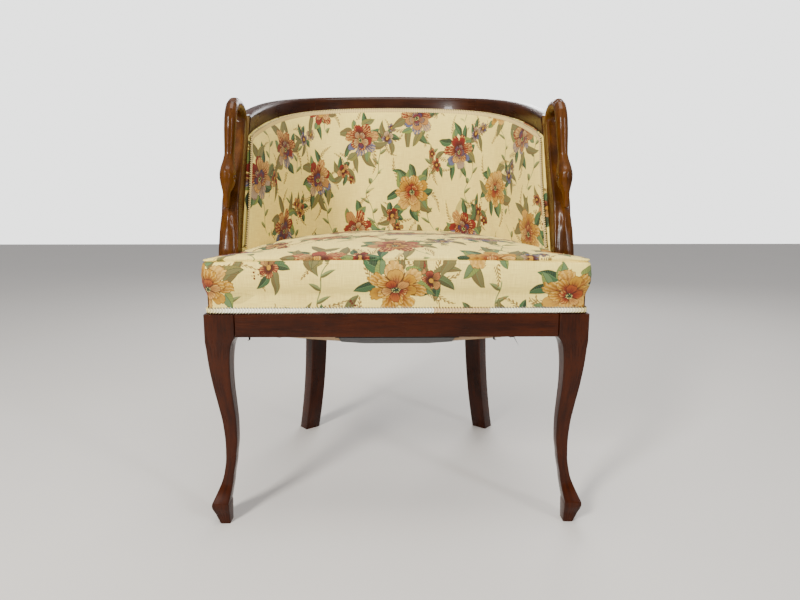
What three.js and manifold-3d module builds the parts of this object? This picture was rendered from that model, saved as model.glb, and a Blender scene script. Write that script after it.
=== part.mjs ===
// Bergere chair: barrel back on a show-wood frame, carved swan arm fronts, cabriole front legs.
// Millimetres, +Z up. X runs to the right seen from the front, and Y, the depth, runs back from the
// front faces of the legs, until the last step centres the chair on its own footprint.

import * as THREE from "three";
import { mergeVertices } from "three/addons/utils/BufferGeometryUtils.js";
import Module from "manifold-3d";

const wasm = await Module();
wasm.setup();

// Driving dimensions of the frame
const frameWidth = 590;
const showTopHeight = 344;
const showRailHeight = 36;
const upholsteredRailHeight = 28;
const railThickness = 24;
const rabbetDepth = 6;
const frontRailSetback = 3;
const tenonLength = 22;
const tenonThickness = 9;
const tenonShoulder = 9;

// Fits
const clearance = 0.3;
const overrun = 4;

// Plan of the barrel back, at the seat rails and at the top of the crest
const barrelSpringDepth = 70;
const seatBackDepth = 464;
const crestBackDepth = 506;
const armTopInset = 10;
const railFullness = 2.5;
const crestFullness = 3;
const wallLeanHeight = 430;
const armFrontDepthAtSeat = 108;
const armFrontDepthAtCrest = 236;

// Show-wood top line
const crestTopHeight = 742;
const armDrop = 76;
const armDropPower = 2.5;
const crestThickness = 27;
const crestFaceHeight = 27;
const armFaceHeight = 38;
const crestRounding = 9;
const crestTongue = 12;
const dowelDiameter = 10;
const dowelLength = 44;

// Front legs
const legBlockWidth = 46;
const legCornerRounding = 3;

// Rear legs
const rearLegInset = 110;
const rearLegWidth = 38;
const rearLegThickness = 30;
const rearFootWidth = 35;
const rearFootThickness = 28;
const rearLegFlare = 37;
const rearKneeHeight = 262;
const stileWidth = 34;

// Swan arm fronts
const postThickness = 28;
const postInset = 9;
const breastWidth = 34;
const breastFrontDepth = 75;
const breastTopHeight = 508;
const neckWidth = 20;
const neckDepth = 22;
const neckInset = 5;
const neckTopHeight = 684;
const neckFrontDepth = 102;
const billTipHeight = 504;

// Seat
const seatEdgeHeight = 426;
const seatCrown = 21;
const seatBulge = 3.5;
const seatFrontBulge = 5.5;
const seatCornerRounding = 12;
const seatReturnDepth = 71;
const seatRiseDepth = 160;
const seatCrownPower = 2.3;
const coverThickness = 1.4;
const webWidth = 50;
const webThickness = 1.5;
const webCentreDistance = 84;
const firstCrossWebDepth = 165;
const webLap = 15;
const clothThickness = 1;
const bottomSag = 44;
const bottomMiddleDepth = 170;
const patchHalfWidth = 96;
const clothShares = [0.2, 0.5, 0.75, 1];

// Back and arms
const padThickness = 31;
const padEdgeAtSeat = 11;
const padEdgeAtCrest = 1.2;
const padEndShare = 0.2;
const padFullness = 2.4;
const tackRailHeight = 20;
const tackRailGap = 20;
const linerThickness = 1;

// Braid
const gimpWidth = 11;
const gimpThickness = 2;
const gimpTurnShare = 1 / 4;

// Fasteners and blocks
const blockLeg = 52;
const blockHeight = 30;
const screwDiameter = 4.5;
const screwHeadDiameter = 9;
const screwHeadHeight = 3;
const screwLength = 34;
const postScrewLength = 100;
const frontScrewShare = 1 / 3;
const rearScrewShare = 1 / 4;

// Counts that only set how finely round forms are divided
const barrelSteps = 44;
const sabreSteps = 8;
const roundSides = 12;
const cornerSteps = 3;
const turnHalvings = 40;

// Worked out from the driving dimensions
const halfWidth = frameWidth / 2;
const railBottom = showTopHeight - showRailHeight;
const railTop = showTopHeight + upholsteredRailHeight;
const wallHeight = crestTopHeight - wallLeanHeight;
const postLean = (armFrontDepthAtCrest - armFrontDepthAtSeat) / wallHeight;

const wood = { color: 0x4a2410, roughness: 0.3, metalness: 0 };
const fabric = { color: 0xdfd2a8, roughness: 0.9, metalness: 0 };
const braid = { color: 0xf0ead2, roughness: 0.9, metalness: 0 };
const jute = { color: 0xa8844f, roughness: 1, metalness: 0 };
const foam = { color: 0xe6dfc6, roughness: 1, metalness: 0 };
const blackCloth = { color: 0x23201e, roughness: 1, metalness: 0 };
const steel = { color: 0x9a9a98, roughness: 0.4, metalness: 0.9 };
const beech = { color: 0xb08a5a, roughness: 0.7, metalness: 0 };

const chair = new THREE.Group();

function addPiece(name, geometry, look) {
  geometry.deleteAttribute("normal");
  geometry.deleteAttribute("uv");
  geometry.computeVertexNormals();
  const mesh = new THREE.Mesh(geometry, new THREE.MeshStandardMaterial(look));
  mesh.name = name;
  chair.add(mesh);
  return mesh;
}

// The left piece and its mirror image on the right.
function addPair(name, geometry, look) {
  addPiece(`${name}_left`, geometry, look);
  addPiece(`${name}_right`, mirrored(geometry), look);
}

function mirrored(geometry) {
  const copy = geometry.clone().scale(-1, 1, 1);
  const index = copy.index.array;
  for (let corner = 0; corner < index.length; corner += 3) {
    [index[corner + 1], index[corner + 2]] = [index[corner + 2], index[corner + 1]];
  }
  return copy;
}

function toSolid(geometry) {
  const bare = geometry.clone();
  bare.deleteAttribute("normal");
  bare.deleteAttribute("uv");
  const merged = mergeVertices(bare);
  const triVerts = new Uint32Array(merged.index.array);
  const vertProperties = new Float32Array(merged.attributes.position.array);
  return new wasm.Manifold(new wasm.Mesh({ numProp: 3, vertProperties, triVerts }));
}

function toGeometry(solid) {
  const mesh = solid.getMesh();
  const geometry = new THREE.BufferGeometry();
  geometry.setAttribute("position", new THREE.BufferAttribute(new Float32Array(mesh.vertProperties), 3));
  geometry.setIndex(new THREE.BufferAttribute(new Uint32Array(mesh.triVerts), 1));
  return geometry;
}

function cutFrom(geometry, ...tools) {
  return toGeometry(tools.reduce((left, tool) => left.subtract(toSolid(tool)), toSolid(geometry)));
}

function joined(...geometries) {
  const [first, ...others] = geometries.map(toSolid);
  return toGeometry(others.reduce((whole, part) => whole.add(part), first));
}

function signedVolume(positions, triangles) {
  let sum = 0;
  const corner = (index) => new THREE.Vector3().fromArray(positions, index * 3);
  for (let start = 0; start < triangles.length; start += 3) {
    const [a, b, c] = [0, 1, 2].map((step) => corner(triangles[start + step]));
    sum += a.dot(b.cross(c));
  }
  return sum;
}

// A closed body through rows of outlines: outlineAt(row) gives a row's flat outline, and
// place(point, row) puts each of its points in space. Where slantsUp is given, it says for each row
// whether the facets' diagonals rise with the outline's y towards the next row.
function loft(rowCount, outlineAt, place, slantsUp) {
  const outlines = Array.from({ length: rowCount }, (_, row) => outlineAt(row));
  if (THREE.ShapeUtils.isClockWise(outlines[0])) {
    outlines.forEach((outline) => outline.reverse());
  }
  const sides = outlines[0].length;
  const points = outlines.flatMap((outline, row) => outline.map((point) => place(point, row)));
  const positions = points.flatMap((point) => point.toArray());
  const triangles = [];
  for (let row = 0; row + 1 < rowCount; row++) {
    for (let side = 0; side < sides; side++) {
      const next = (side + 1) % sides;
      const [here, there] = [row * sides, (row + 1) * sides];
      const rises = outlines[row][next].y >= outlines[row][side].y;
      if (!slantsUp || rises === slantsUp(row)) {
        triangles.push(here + side, here + next, there + next);
        triangles.push(here + side, there + next, there + side);
      } else {
        triangles.push(here + side, here + next, there + side);
        triangles.push(here + next, there + next, there + side);
      }
    }
  }
  const lastRow = (rowCount - 1) * sides;
  for (const [a, b, c] of THREE.ShapeUtils.triangulateShape(outlines[0], [])) {
    triangles.push(a, c, b);
  }
  for (const [a, b, c] of THREE.ShapeUtils.triangulateShape(outlines[rowCount - 1], [])) {
    triangles.push(lastRow + a, lastRow + b, lastRow + c);
  }
  if (signedVolume(positions, triangles) < 0) {
    triangles.reverse();
  }
  const geometry = new THREE.BufferGeometry();
  geometry.setAttribute("position", new THREE.Float32BufferAttribute(positions, 3));
  geometry.setIndex(triangles);
  return geometry;
}

function roundedRectangle(width, height, radius) {
  const outline = [];
  const corners = [[1, 1], [-1, 1], [-1, -1], [1, -1]];
  corners.forEach(([right, up], quarter) => {
    for (let step = 0; step <= cornerSteps; step++) {
      const angle = (quarter + step / cornerSteps) * Math.PI / 2;
      const x = right * (width / 2 - radius) + radius * Math.cos(angle);
      const y = up * (height / 2 - radius) + radius * Math.sin(angle);
      outline.push(new THREE.Vector2(x, y));
    }
  });
  return outline;
}

function ellipse(halfX, halfY, sides = roundSides) {
  return Array.from({ length: sides }, (_, side) => {
    const angle = side / sides * Math.PI * 2;
    return new THREE.Vector2(halfX * Math.cos(angle), halfY * Math.sin(angle));
  });
}

// A box given by its lowest and highest corners.
function boxBetween(low, high) {
  const size = high.map((value, axis) => value - low[axis]);
  const box = new THREE.BoxGeometry(...size);
  return box.translate(...high.map((value, axis) => (value + low[axis]) / 2));
}

// One level of the barrel's plan, from the left arm's front round the back to the right arm's.
class BarrelCurve extends THREE.Curve {
  constructor(half, backDepth, fullness, frontDepth) {
    super();
    this.half = half;
    this.reach = backDepth - barrelSpringDepth;
    this.fullness = fullness;
    this.startAngle = Math.asin(((frontDepth - barrelSpringDepth) / this.reach) ** (fullness / 2));
  }

  getPoint(t, target = new THREE.Vector3()) {
    const angle = THREE.MathUtils.lerp(this.startAngle, Math.PI - this.startAngle, t);
    const across = Math.cos(angle);
    const power = 2 / this.fullness;
    const x = -this.half * Math.sign(across) * Math.abs(across) ** power;
    return target.set(x, barrelSpringDepth + this.reach * Math.sin(angle) ** power, 0);
  }
}

const seatCurve = new BarrelCurve(halfWidth, seatBackDepth, railFullness, armFrontDepthAtSeat);
const crestHalfWidth = halfWidth - armTopInset;
const crestCurve = new BarrelCurve(crestHalfWidth, crestBackDepth, crestFullness, armFrontDepthAtCrest);
const barrelLength = seatCurve.getLength();

// Places along a level at which every piece of the barrel has its facets' edges. At the arms'
// fronts the pieces end square to the chair's sides.
function stationsOf(curve) {
  const stations = Array.from({ length: barrelSteps + 1 }, (_, step) => ({
    point: curve.getPointAt(step / barrelSteps),
    along: curve.getTangentAt(step / barrelSteps),
  }));
  stations[0].along.set(0, 1, 0);
  stations[barrelSteps].along.set(0, -1, 0);
  return stations;
}

const seatStations = stationsOf(seatCurve);
const crestStations = stationsOf(crestCurve);

function stationAt(stations, turn) {
  const place = THREE.MathUtils.clamp(turn, 0, 1) * barrelSteps;
  const step = Math.min(Math.floor(place), barrelSteps - 1);
  const [here, next] = [stations[step], stations[step + 1]];
  return {
    point: here.point.clone().lerp(next.point, place - step),
    along: here.along.clone().lerp(next.along, place - step),
  };
}

// A point of the barrel's wall: turn runs from 0 at the left arm's front to 1 at the right one's,
// and inset is measured inward from the frame's outer face. The wall is upright up to the seat.
function barrelPoint(turn, inset, height) {
  const share = Math.max(0, (height - wallLeanHeight) / wallHeight);
  const [low, high] = [stationAt(seatStations, turn), stationAt(crestStations, turn)];
  const point = low.point.lerp(high.point, share);
  const along = low.along.lerp(high.along, share).normalize();
  return new THREE.Vector3(point.x + along.y * inset, point.y - along.x * inset, height);
}

// How far a turn lies from the back's middle, from 0 there to 1 at the arms' fronts.
function sideways(turn) {
  return Math.abs(turn * 2 - 1);
}

function crestTop(turn) {
  return crestTopHeight - armDrop * sideways(turn) ** armDropPower;
}

function crestBottom(turn) {
  const growth = (armFaceHeight - crestFaceHeight) * sideways(turn) ** 2;
  return crestTop(turn) - crestFaceHeight - growth;
}

function tongueBottom(turn) {
  return crestBottom(turn) - crestTongue;
}

// The last turn on the left up to which a test of the turn holds.
function lastTurnWhere(holds) {
  let [low, high] = [0, 1 / 2];
  for (let halving = 0; halving < turnHalvings; halving++) {
    const middle = (low + high) / 2;
    [low, high] = holds(middle) ? [middle, high] : [low, middle];
  }
  return low;
}

const rearLegTurn = lastTurnWhere((turn) => -barrelPoint(turn, 0, 0).x > halfWidth - rearLegInset);
const turnGap = clearance / barrelLength;
const stileHalfTurn = stileWidth / 2 / barrelLength;

// The stations between two turns, with the two ends.
function turnsBetween(from, to) {
  const inner = seatStations.map((_, step) => step / barrelSteps);
  return [from, ...inner.filter((turn) => turn > from + turnGap && turn < to - turnGap), to];
}

// A body that follows the barrel between two turns, with its section in inset and height.
function alongBarrel(from, to, sectionAt) {
  const turns = turnsBetween(from, to);
  return loft(
    turns.length,
    (row) => sectionAt(turns[row]).map(([inset, height]) => new THREE.Vector2(inset, height)),
    (point, row) => barrelPoint(turns[row], point.x, point.y),
    (row) => turns[row] + turns[row + 1] < 1,
  );
}

// A flat strip along a path, lying against a surface whose outward normals are given.
function ribbon(points, normals, width, thickness) {
  const outline = [[-1, 0], [1, 0], [1, 1], [-1, 1]].map(([across, out]) => new THREE.Vector2(across, out));
  const sideAt = points.map((point, row) => {
    const before = points[Math.max(row - 1, 0)];
    const after = points[Math.min(row + 1, points.length - 1)];
    return after.clone().sub(before).cross(normals[row]).normalize();
  });
  return loft(points.length, () => outline.map((point) => point.clone()), (point, row) => {
    const place = points[row].clone().addScaledVector(sideAt[row], point.x * width / 2);
    return place.addScaledVector(normals[row], point.y * thickness);
  });
}

// Front legs

// Each row: share of the leg's height, then shares of the block's width for the set of the outer
// edge inside the frame, the width, the set of the front face and the thickness front to back.
const cabrioleShares = [
  [0, 0.2, 0.35, 0.06, 0.46],
  [0.045, 0.07, 0.48, 0.02, 0.54],
  [0.093, -0.04, 0.6, -0.08, 0.64],
  [0.105, -0.03, 0.58, -0.08, 0.64],
  [0.163, 0.17, 0.46, 0.1, 0.5],
  [0.205, 0.3, 0.38, 0.17, 0.45],
  [0.24, 0.37, 0.34, 0.2, 0.44],
  [0.314, 0.45, 0.35, 0.22, 0.44],
  [0.38, 0.46, 0.4, 0.22, 0.45],
  [0.475, 0.42, 0.46, 0.19, 0.48],
  [0.57, 0.31, 0.53, 0.14, 0.53],
  [0.67, 0.18, 0.61, 0.07, 0.6],
  [0.77, 0.08, 0.71, 0.02, 0.68],
  [0.845, 0.03, 0.81, 0, 0.79],
  [0.878, 0, 0.92, 0, 0.9],
  [0.895, 0, 1, 0, 1],
  [1, 0, 1, 0, 1],
];
const railMiddle = railBottom + showRailHeight / 2;
const tenonHalf = showRailHeight / 2 - tenonShoulder;
const legInnerFace = halfWidth - legBlockWidth;
const frontRailBack = frontRailSetback + railThickness;
const frontTenonFace = frontRailSetback + (railThickness - tenonThickness) / 2;
const sideTenonFace = halfWidth - (railThickness - tenonThickness) / 2;
const sideTenonFront = frontTenonFace + tenonThickness + overrun;

// The upholstery's rounded left front corner in plan, by how far it stands out beyond the frame.
function frontCorner(sideSwell, frontSwell) {
  return Array.from({ length: cornerSteps + 1 }, (_, step) => {
    const angle = step / cornerSteps * Math.PI / 2;
    return new THREE.Vector2(
      seatCornerRounding - halfWidth - (seatCornerRounding + sideSwell) * Math.sin(angle),
      seatCornerRounding - (seatCornerRounding + frontSwell) * Math.cos(angle),
    );
  });
}

function frontLeg() {
  const cabriole = loft(
    cabrioleShares.length,
    (row) => {
      const [, , widthShare, , thicknessShare] = cabrioleShares[row];
      return roundedRectangle(widthShare * legBlockWidth, thicknessShare * legBlockWidth, legCornerRounding);
    },
    (point, row) => {
      const [heightShare, setShare, widthShare, frontShare, thicknessShare] = cabrioleShares[row];
      const x = -halfWidth + (setShare + widthShare / 2) * legBlockWidth;
      const y = (frontShare + thicknessShare / 2) * legBlockWidth;
      return new THREE.Vector3(point.x + x, point.y + y, heightShare * showTopHeight);
    },
  );
  const heights = [showTopHeight - overrun, railTop];
  const outline = [
    new THREE.Vector2(-legInnerFace, rabbetDepth),
    ...frontCorner(-rabbetDepth, -rabbetDepth),
    new THREE.Vector2(rabbetDepth - halfWidth, legBlockWidth),
    new THREE.Vector2(-legInnerFace, legBlockWidth),
  ];
  const top = loft(
    heights.length,
    () => outline.map((point) => point.clone()),
    (point, row) => new THREE.Vector3(point.x, point.y, heights[row]),
  );
  const [low, high] = [railMiddle - tenonHalf - clearance, railMiddle + tenonHalf + clearance];
  const frontMortise = boxBetween(
    [-legInnerFace - tenonLength - clearance, frontTenonFace - clearance, low],
    [-legInnerFace + overrun, frontTenonFace + tenonThickness + clearance, high],
  );
  const sideMortise = boxBetween(
    [-sideTenonFace - clearance, sideTenonFront - clearance, low],
    [-sideTenonFace + tenonThickness + clearance, legBlockWidth + overrun, high],
  );
  return cutFrom(joined(cabriole, top), frontMortise, sideMortise);
}

// Seat rails

function frontRail() {
  const end = legInnerFace - clearance;
  const shown = boxBetween([-end, frontRailSetback, railBottom], [end, frontRailBack, showTopHeight]);
  const upper = boxBetween(
    [-end, rabbetDepth, showTopHeight - overrun],
    [end, frontRailBack, railTop],
  );
  const reach = legInnerFace + tenonLength;
  const tenons = boxBetween(
    [-reach, frontTenonFace, railMiddle - tenonHalf],
    [reach, frontTenonFace + tenonThickness, railMiddle + tenonHalf],
  );
  const holes = frontBlockScrews(clearance);
  return cutFrom(joined(shown, upper, tenons), ...holes, ...holes.map(mirrored));
}

// Section of a curved seat rail: show wood below, rabbet for the upholstery above.
function railOutline() {
  const corners = [
    [0, railBottom],
    [railThickness, railBottom],
    [railThickness, railTop],
    [rabbetDepth, railTop],
    [rabbetDepth, showTopHeight],
    [0, showTopHeight],
  ];
  return corners.map(([inset, height]) => new THREE.Vector2(inset, height));
}

// From the front leg's block the side rail runs straight to the arm's front, then with the barrel.
function sideRail() {
  const turns = turnsBetween(0, rearLegTurn);
  const front = legBlockWidth + clearance;
  const rail = loft(turns.length + 1, railOutline, (point, row) => {
    if (row === 0) {
      return new THREE.Vector3(-halfWidth + point.x, front, point.y);
    }
    return barrelPoint(turns[row - 1], point.x, point.y);
  });
  const tenon = boxBetween(
    [-sideTenonFace, sideTenonFront, railMiddle - tenonHalf],
    [-sideTenonFace + tenonThickness, front + overrun, railMiddle + tenonHalf],
  );
  const holes = [postScrew(clearance), ...frontBlockScrews(clearance), ...rearBlockScrews(clearance)];
  return cutFrom(joined(rail, tenon), rearLegSocket(), ...holes);
}

function rearRail() {
  const turns = turnsBetween(rearLegTurn, 1 - rearLegTurn);
  const rail = loft(turns.length, railOutline, (point, row) => barrelPoint(turns[row], point.x, point.y));
  const cuts = [rearLegSocket(), ...rearBlockScrews(clearance)];
  return cutFrom(rail, ...cuts, ...cuts.map(mirrored));
}

// Rear legs

// A place at the rear leg: along the rail, inward from its flat outer face, and up. The face's
// edges lie on the rails' outer faces.
function rearLegPoint(along, inset, height) {
  const halfTurn = rearLegWidth / 2 / barrelLength;
  const [first, last] = [-halfTurn, halfTurn].map((step) => barrelPoint(rearLegTurn + step, 0, height));
  const chord = last.clone().sub(first).normalize();
  const inward = new THREE.Vector3(chord.y, -chord.x, 0);
  const middle = first.add(last).divideScalar(2);
  return middle.addScaledVector(chord, along).addScaledVector(inward, inset);
}

function rearLegSocket() {
  const half = rearLegWidth / 2 + clearance;
  const depth = rearLegThickness + clearance;
  const heights = [railBottom - overrun, railTop + overrun];
  const outline = [[-half, -overrun], [half, -overrun], [half, depth], [-half, depth]];
  return loft(
    heights.length,
    () => outline.map(([along, inset]) => new THREE.Vector2(along, inset)),
    (point, row) => rearLegPoint(point.x, point.y, heights[row]),
  );
}

const tongueInner = crestThickness - rabbetDepth;
const linerInset = rabbetDepth + clearance;
const stileOuter = linerInset + linerThickness + 3 * clearance;
const stileInner = tongueInner - 2 * clearance;
const stileTop = tongueBottom(rearLegTurn - stileHalfTurn) - clearance;

// Sabre leg below the rails, flaring back towards the floor, and the stile that it runs on into.
function rearLeg() {
  const rows = [];
  for (let step = 0; step <= sabreSteps; step++) {
    const drop = 1 - step / sabreSteps;
    rows.push({
      height: rearKneeHeight * (1 - drop),
      shift: -rearLegFlare * drop ** 2,
      width: THREE.MathUtils.lerp(rearLegWidth, rearFootWidth, drop),
      outer: 0,
      inner: THREE.MathUtils.lerp(rearLegThickness, rearFootThickness, drop),
    });
  }
  const block = { shift: 0, width: rearLegWidth, inner: rearLegThickness };
  rows.push({ ...block, height: showTopHeight, outer: 0 });
  rows.push({ ...block, height: showTopHeight, outer: rabbetDepth });
  rows.push({ ...block, height: railTop, outer: rabbetDepth });
  const stile = { width: stileWidth, outer: stileOuter, inner: stileInner, leans: true };
  rows.push({ ...stile, height: railTop });
  rows.push({ ...stile, height: wallLeanHeight });
  rows.push({ ...stile, height: stileTop });
  return loft(
    rows.length,
    (row) => {
      const { width, outer, inner } = rows[row];
      const corners = [[-1, outer], [1, outer], [1, inner], [-1, inner]];
      return corners.map(([side, inset]) => new THREE.Vector2(side * width / 2, inset));
    },
    (point, row) => {
      const { height, shift, leans } = rows[row];
      if (leans) {
        return barrelPoint(rearLegTurn + point.x / barrelLength, point.y, height);
      }
      return rearLegPoint(point.x, point.y + shift, height);
    },
  );
}

// Crest and arm rails

// Rounded show wood above, and below it the tongue that both covers are tacked to.
function crestSection(turn) {
  const [top, bottom, tongue] = [crestTop(turn), crestBottom(turn), tongueBottom(turn)];
  const round = (centre, from) => Array.from({ length: cornerSteps + 1 }, (_, step) => {
    const angle = from - step / cornerSteps * Math.PI / 2;
    return [centre + crestRounding * Math.cos(angle), top - crestRounding + crestRounding * Math.sin(angle)];
  });
  return [
    [tongueInner, bottom],
    [tongueInner, tongue],
    [rabbetDepth, tongue],
    [rabbetDepth, bottom],
    [0, bottom],
    ...round(crestRounding, Math.PI),
    ...round(crestThickness - crestRounding, Math.PI / 2),
    [crestThickness, bottom],
  ];
}

const crestJointTurn = rearLegTurn - 2 * stileHalfTurn;
const armFrontTurn = 2 * turnGap;

function dowelPlace(turn) {
  return barrelPoint(turn, crestThickness / 2, (crestTop(turn) + crestBottom(turn)) / 2);
}

// A dowel through a joint of the top line or, with extra room, the hole for it.
function dowelAt(turn, room) {
  const radius = dowelDiameter / 2 + room;
  const cylinder = new THREE.CylinderGeometry(radius, radius, dowelLength + 2 * room, roundSides);
  const along = dowelPlace(turn + stileHalfTurn).sub(dowelPlace(turn - Math.min(turn, stileHalfTurn)));
  const upright = new THREE.Vector3(0, 1, 0);
  cylinder.applyQuaternion(new THREE.Quaternion().setFromUnitVectors(upright, along.normalize()));
  return cylinder.translate(...dowelPlace(turn).toArray());
}

function crestRail() {
  const rail = alongBarrel(crestJointTurn + turnGap / 2, 1 - crestJointTurn - turnGap / 2, crestSection);
  const hole = dowelAt(crestJointTurn, clearance);
  return cutFrom(rail, hole, mirrored(hole));
}

function armRail() {
  const rail = alongBarrel(armFrontTurn, crestJointTurn - turnGap / 2, crestSection);
  return cutFrom(rail, dowelAt(crestJointTurn, clearance), dowelAt(0, clearance));
}

// Tack rails carry the lower edge of the inner upholstery between the posts.
const tackRailBottom = railTop + tackRailGap;
const tackRailTop = tackRailBottom + tackRailHeight;
const stileEndTurn = rearLegTurn + stileHalfTurn + turnGap;

function tackRail(from, to) {
  return alongBarrel(from, to, () => [
    [stileOuter, tackRailBottom],
    [stileInner, tackRailBottom],
    [stileInner, tackRailTop],
    [stileOuter, tackRailTop],
  ]);
}

// Swan arm fronts

const postOuter = halfWidth - postInset;
const postInner = postOuter - postThickness;
const postMiddle = (postOuter + postInner) / 2;
const breastMiddle = postInner + breastWidth / 2;

// Depth of the post's back edge, which the arm's upholstery meets and which slants above the seat.
function postBackDepth(height) {
  return armFrontDepthAtSeat + postLean * Math.max(0, height - wallLeanHeight) - clearance;
}

// Board: shares of the way up from the show rail to the loop, and of the neck's depth by which the
// board reaches forward of its back edge there.
const boardShares = [
  [0, 1.35],
  [0.28, 1.4],
  [0.5, 2],
  [0.64, 1.6],
  [0.93, 1.55],
];
const postBase = showTopHeight + clearance;

// Stands an extruded outline up: it lies in depth and height, and its thickness runs across.
const outlineStood = new THREE.Matrix4().makeBasis(
  new THREE.Vector3(0, 1, 0),
  new THREE.Vector3(0, 0, 1),
  new THREE.Vector3(1, 0, 0),
);

function swanBoard() {
  const front = boardShares.map(([heightShare, reachShare]) => {
    const height = THREE.MathUtils.lerp(postBase, neckTopHeight, heightShare);
    return new THREE.Vector2(postBackDepth(height) - reachShare * neckDepth, height);
  });
  const back = [crestTop(0), wallLeanHeight, postBase].map((height) => {
    return new THREE.Vector2(postBackDepth(height), height);
  });
  const bevel = neckDepth / roundSides;
  const board = new THREE.ExtrudeGeometry(new THREE.Shape([...front, ...back]), {
    depth: postThickness - 2 * bevel,
    bevelSize: bevel,
    bevelThickness: bevel,
    bevelOffset: -bevel,
    bevelSegments: 1,
  });
  board.applyMatrix4(outlineStood);
  return board.translate(bevel - postOuter, 0, 0);
}

// Breast: share of the way up to its top, then shares of its width, depth and full rounding.
const breastShares = [
  [0, 1, 1, 0.15],
  [0.4, 1, 1, 0.5],
  [0.56, 1, 1, 0.8],
  [0.74, 0.96, 0.97, 0.9],
  [0.88, 0.88, 0.86, 1],
  [0.96, 0.76, 0.7, 1],
  [1, 0.56, 0.5, 1],
];

function swanBreast() {
  const depth = 2 * (armFrontDepthAtSeat - breastFrontDepth);
  const rows = breastShares.map(([heightShare, widthShare, depthShare, roundShare]) => ({
    height: THREE.MathUtils.lerp(postBase, breastTopHeight, heightShare),
    width: widthShare * breastWidth,
    length: depthShare * depth,
    roundShare,
  }));
  return loft(
    rows.length,
    (row) => {
      const { width, length, roundShare } = rows[row];
      const fullest = Math.min(width, length) / 2 - clearance;
      return roundedRectangle(width, length, roundShare * fullest);
    },
    (point, row) => {
      const rise = Math.max(0, rows[row].height - wallLeanHeight);
      const middle = armFrontDepthAtSeat + rise * postLean / 2;
      return new THREE.Vector3(point.x - breastMiddle, point.y + middle, rows[row].height);
    },
  );
}

// Neck, head and bill as one tube that rises out of the board, loops forward and comes down to the
// breast. Each row: share of the way forward, share of the height from the bill's tip to the loop,
// shares of the neck's width and depth, and share of the neck's inset from the board's middle.
const neckShares = [
  [0.28, 0.59, 0.95, 0.9, 1],
  [0.1, 0.83, 1.1, 1.2, 1],
  [0.22, 0.955, 1.08, 1.12, 1],
  [0.53, 1, 1, 1, 1],
  [0.81, 0.955, 1, 1, 1],
  [0.96, 0.83, 1, 0.95, 0.9],
  [1, 0.65, 0.92, 0.85, 0.6],
  [1.02, 0.5, 0.8, 0.84, 0.3],
  [1.07, 0.38, 1.14, 1.3, 0],
  [1.12, 0.3, 1.25, 1.5, 0],
  [1.17, 0.21, 1.05, 1.15, 0],
  [1.2, 0.14, 0.62, 0.74, -0.3],
  [1.22, 0.05, 0.52, 0.52, -0.5],
  [1.22, 0, 0.34, 0.34, -0.5],
];
const neckStepsPerRow = 2;

function swanNeck() {
  const loop = neckTopHeight - neckDepth / 2;
  const rear = postBackDepth(loop) - neckDepth;
  const path = new THREE.CatmullRomCurve3(neckShares.map(([forward, height, , , inset]) => new THREE.Vector3(
    neckInset * inset - postMiddle,
    THREE.MathUtils.lerp(rear, neckFrontDepth, forward),
    THREE.MathUtils.lerp(billTipHeight, loop, height),
  )));
  const girth = new THREE.CatmullRomCurve3(neckShares.map(([, , width, depth]) => new THREE.Vector3(
    width * neckWidth / 2,
    depth * neckDepth / 2,
  )));
  const steps = (neckShares.length - 1) * neckStepsPerRow;
  const across = new THREE.Vector3(1, 0, 0);
  return loft(steps + 1, () => ellipse(1, 1), (point, row) => {
    const t = row / steps;
    const { x: halfWide, y: halfDeep } = girth.getPoint(t);
    const out = across.clone().cross(path.getTangent(t)).normalize();
    const place = path.getPoint(t).addScaledVector(across, point.x * halfWide);
    return place.addScaledVector(out, point.y * halfDeep);
  });
}

// All that lies behind the post's back edge or in the side rail is cut off the swan.
function behindPost() {
  const high = neckTopHeight + overrun;
  const low = showTopHeight - overrun;
  const far = crestBackDepth;
  const shape = new THREE.Shape([
    new THREE.Vector2(postBackDepth(high), high),
    new THREE.Vector2(postBackDepth(wallLeanHeight), wallLeanHeight),
    new THREE.Vector2(postBackDepth(low), low),
    new THREE.Vector2(far, low),
    new THREE.Vector2(far, high),
  ]);
  const block = new THREE.ExtrudeGeometry(shape, { depth: halfWidth, bevelEnabled: false });
  block.applyMatrix4(outlineStood);
  return block.translate(-halfWidth - legBlockWidth, 0, 0);
}

function swanPost() {
  const railRoom = boxBetween(
    [rabbetDepth - clearance - halfWidth, 0, showTopHeight - overrun],
    [railThickness + 2 * clearance - halfWidth, crestBackDepth, railTop + clearance],
  );
  const swan = joined(swanBoard(), swanBreast(), swanNeck());
  return cutFrom(swan, behindPost(), railRoom, dowelAt(0, clearance), postScrew(clearance));
}

// Screws

// A screw with its head at a point and its shank running in a direction, or the hole for it.
function screwAt(place, direction, length, room) {
  const shank = screwDiameter / 2 + room;
  const head = screwHeadDiameter / 2 + room;
  const rise = room > 0 ? overrun : 0;
  const profile = [
    [0, rise],
    [head, rise],
    [head, -room],
    [shank, -screwHeadHeight - room],
    [shank, -length - room],
    [0, -length - room],
  ].map(([radius, height]) => new THREE.Vector2(radius, height));
  const screw = new THREE.LatheGeometry(profile.reverse(), roundSides);
  const down = new THREE.Vector3(0, -1, 0);
  screw.applyQuaternion(new THREE.Quaternion().setFromUnitVectors(down, direction.clone().normalize()));
  return screw.translate(...place.toArray());
}

// Driven up through the side rail into the swan post.
function postScrew(room) {
  const inset = (rabbetDepth + railThickness) / 2;
  const depth = (breastFrontDepth + armFrontDepthAtSeat) / 2;
  const place = new THREE.Vector3(inset - halfWidth, depth, railBottom);
  return screwAt(place, new THREE.Vector3(0, 0, 1), postScrewLength, room);
}

// Corner blocks

const blockBottom = railBottom + rabbetDepth / 2;
const blockMiddle = blockBottom + blockHeight / 2;

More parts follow.
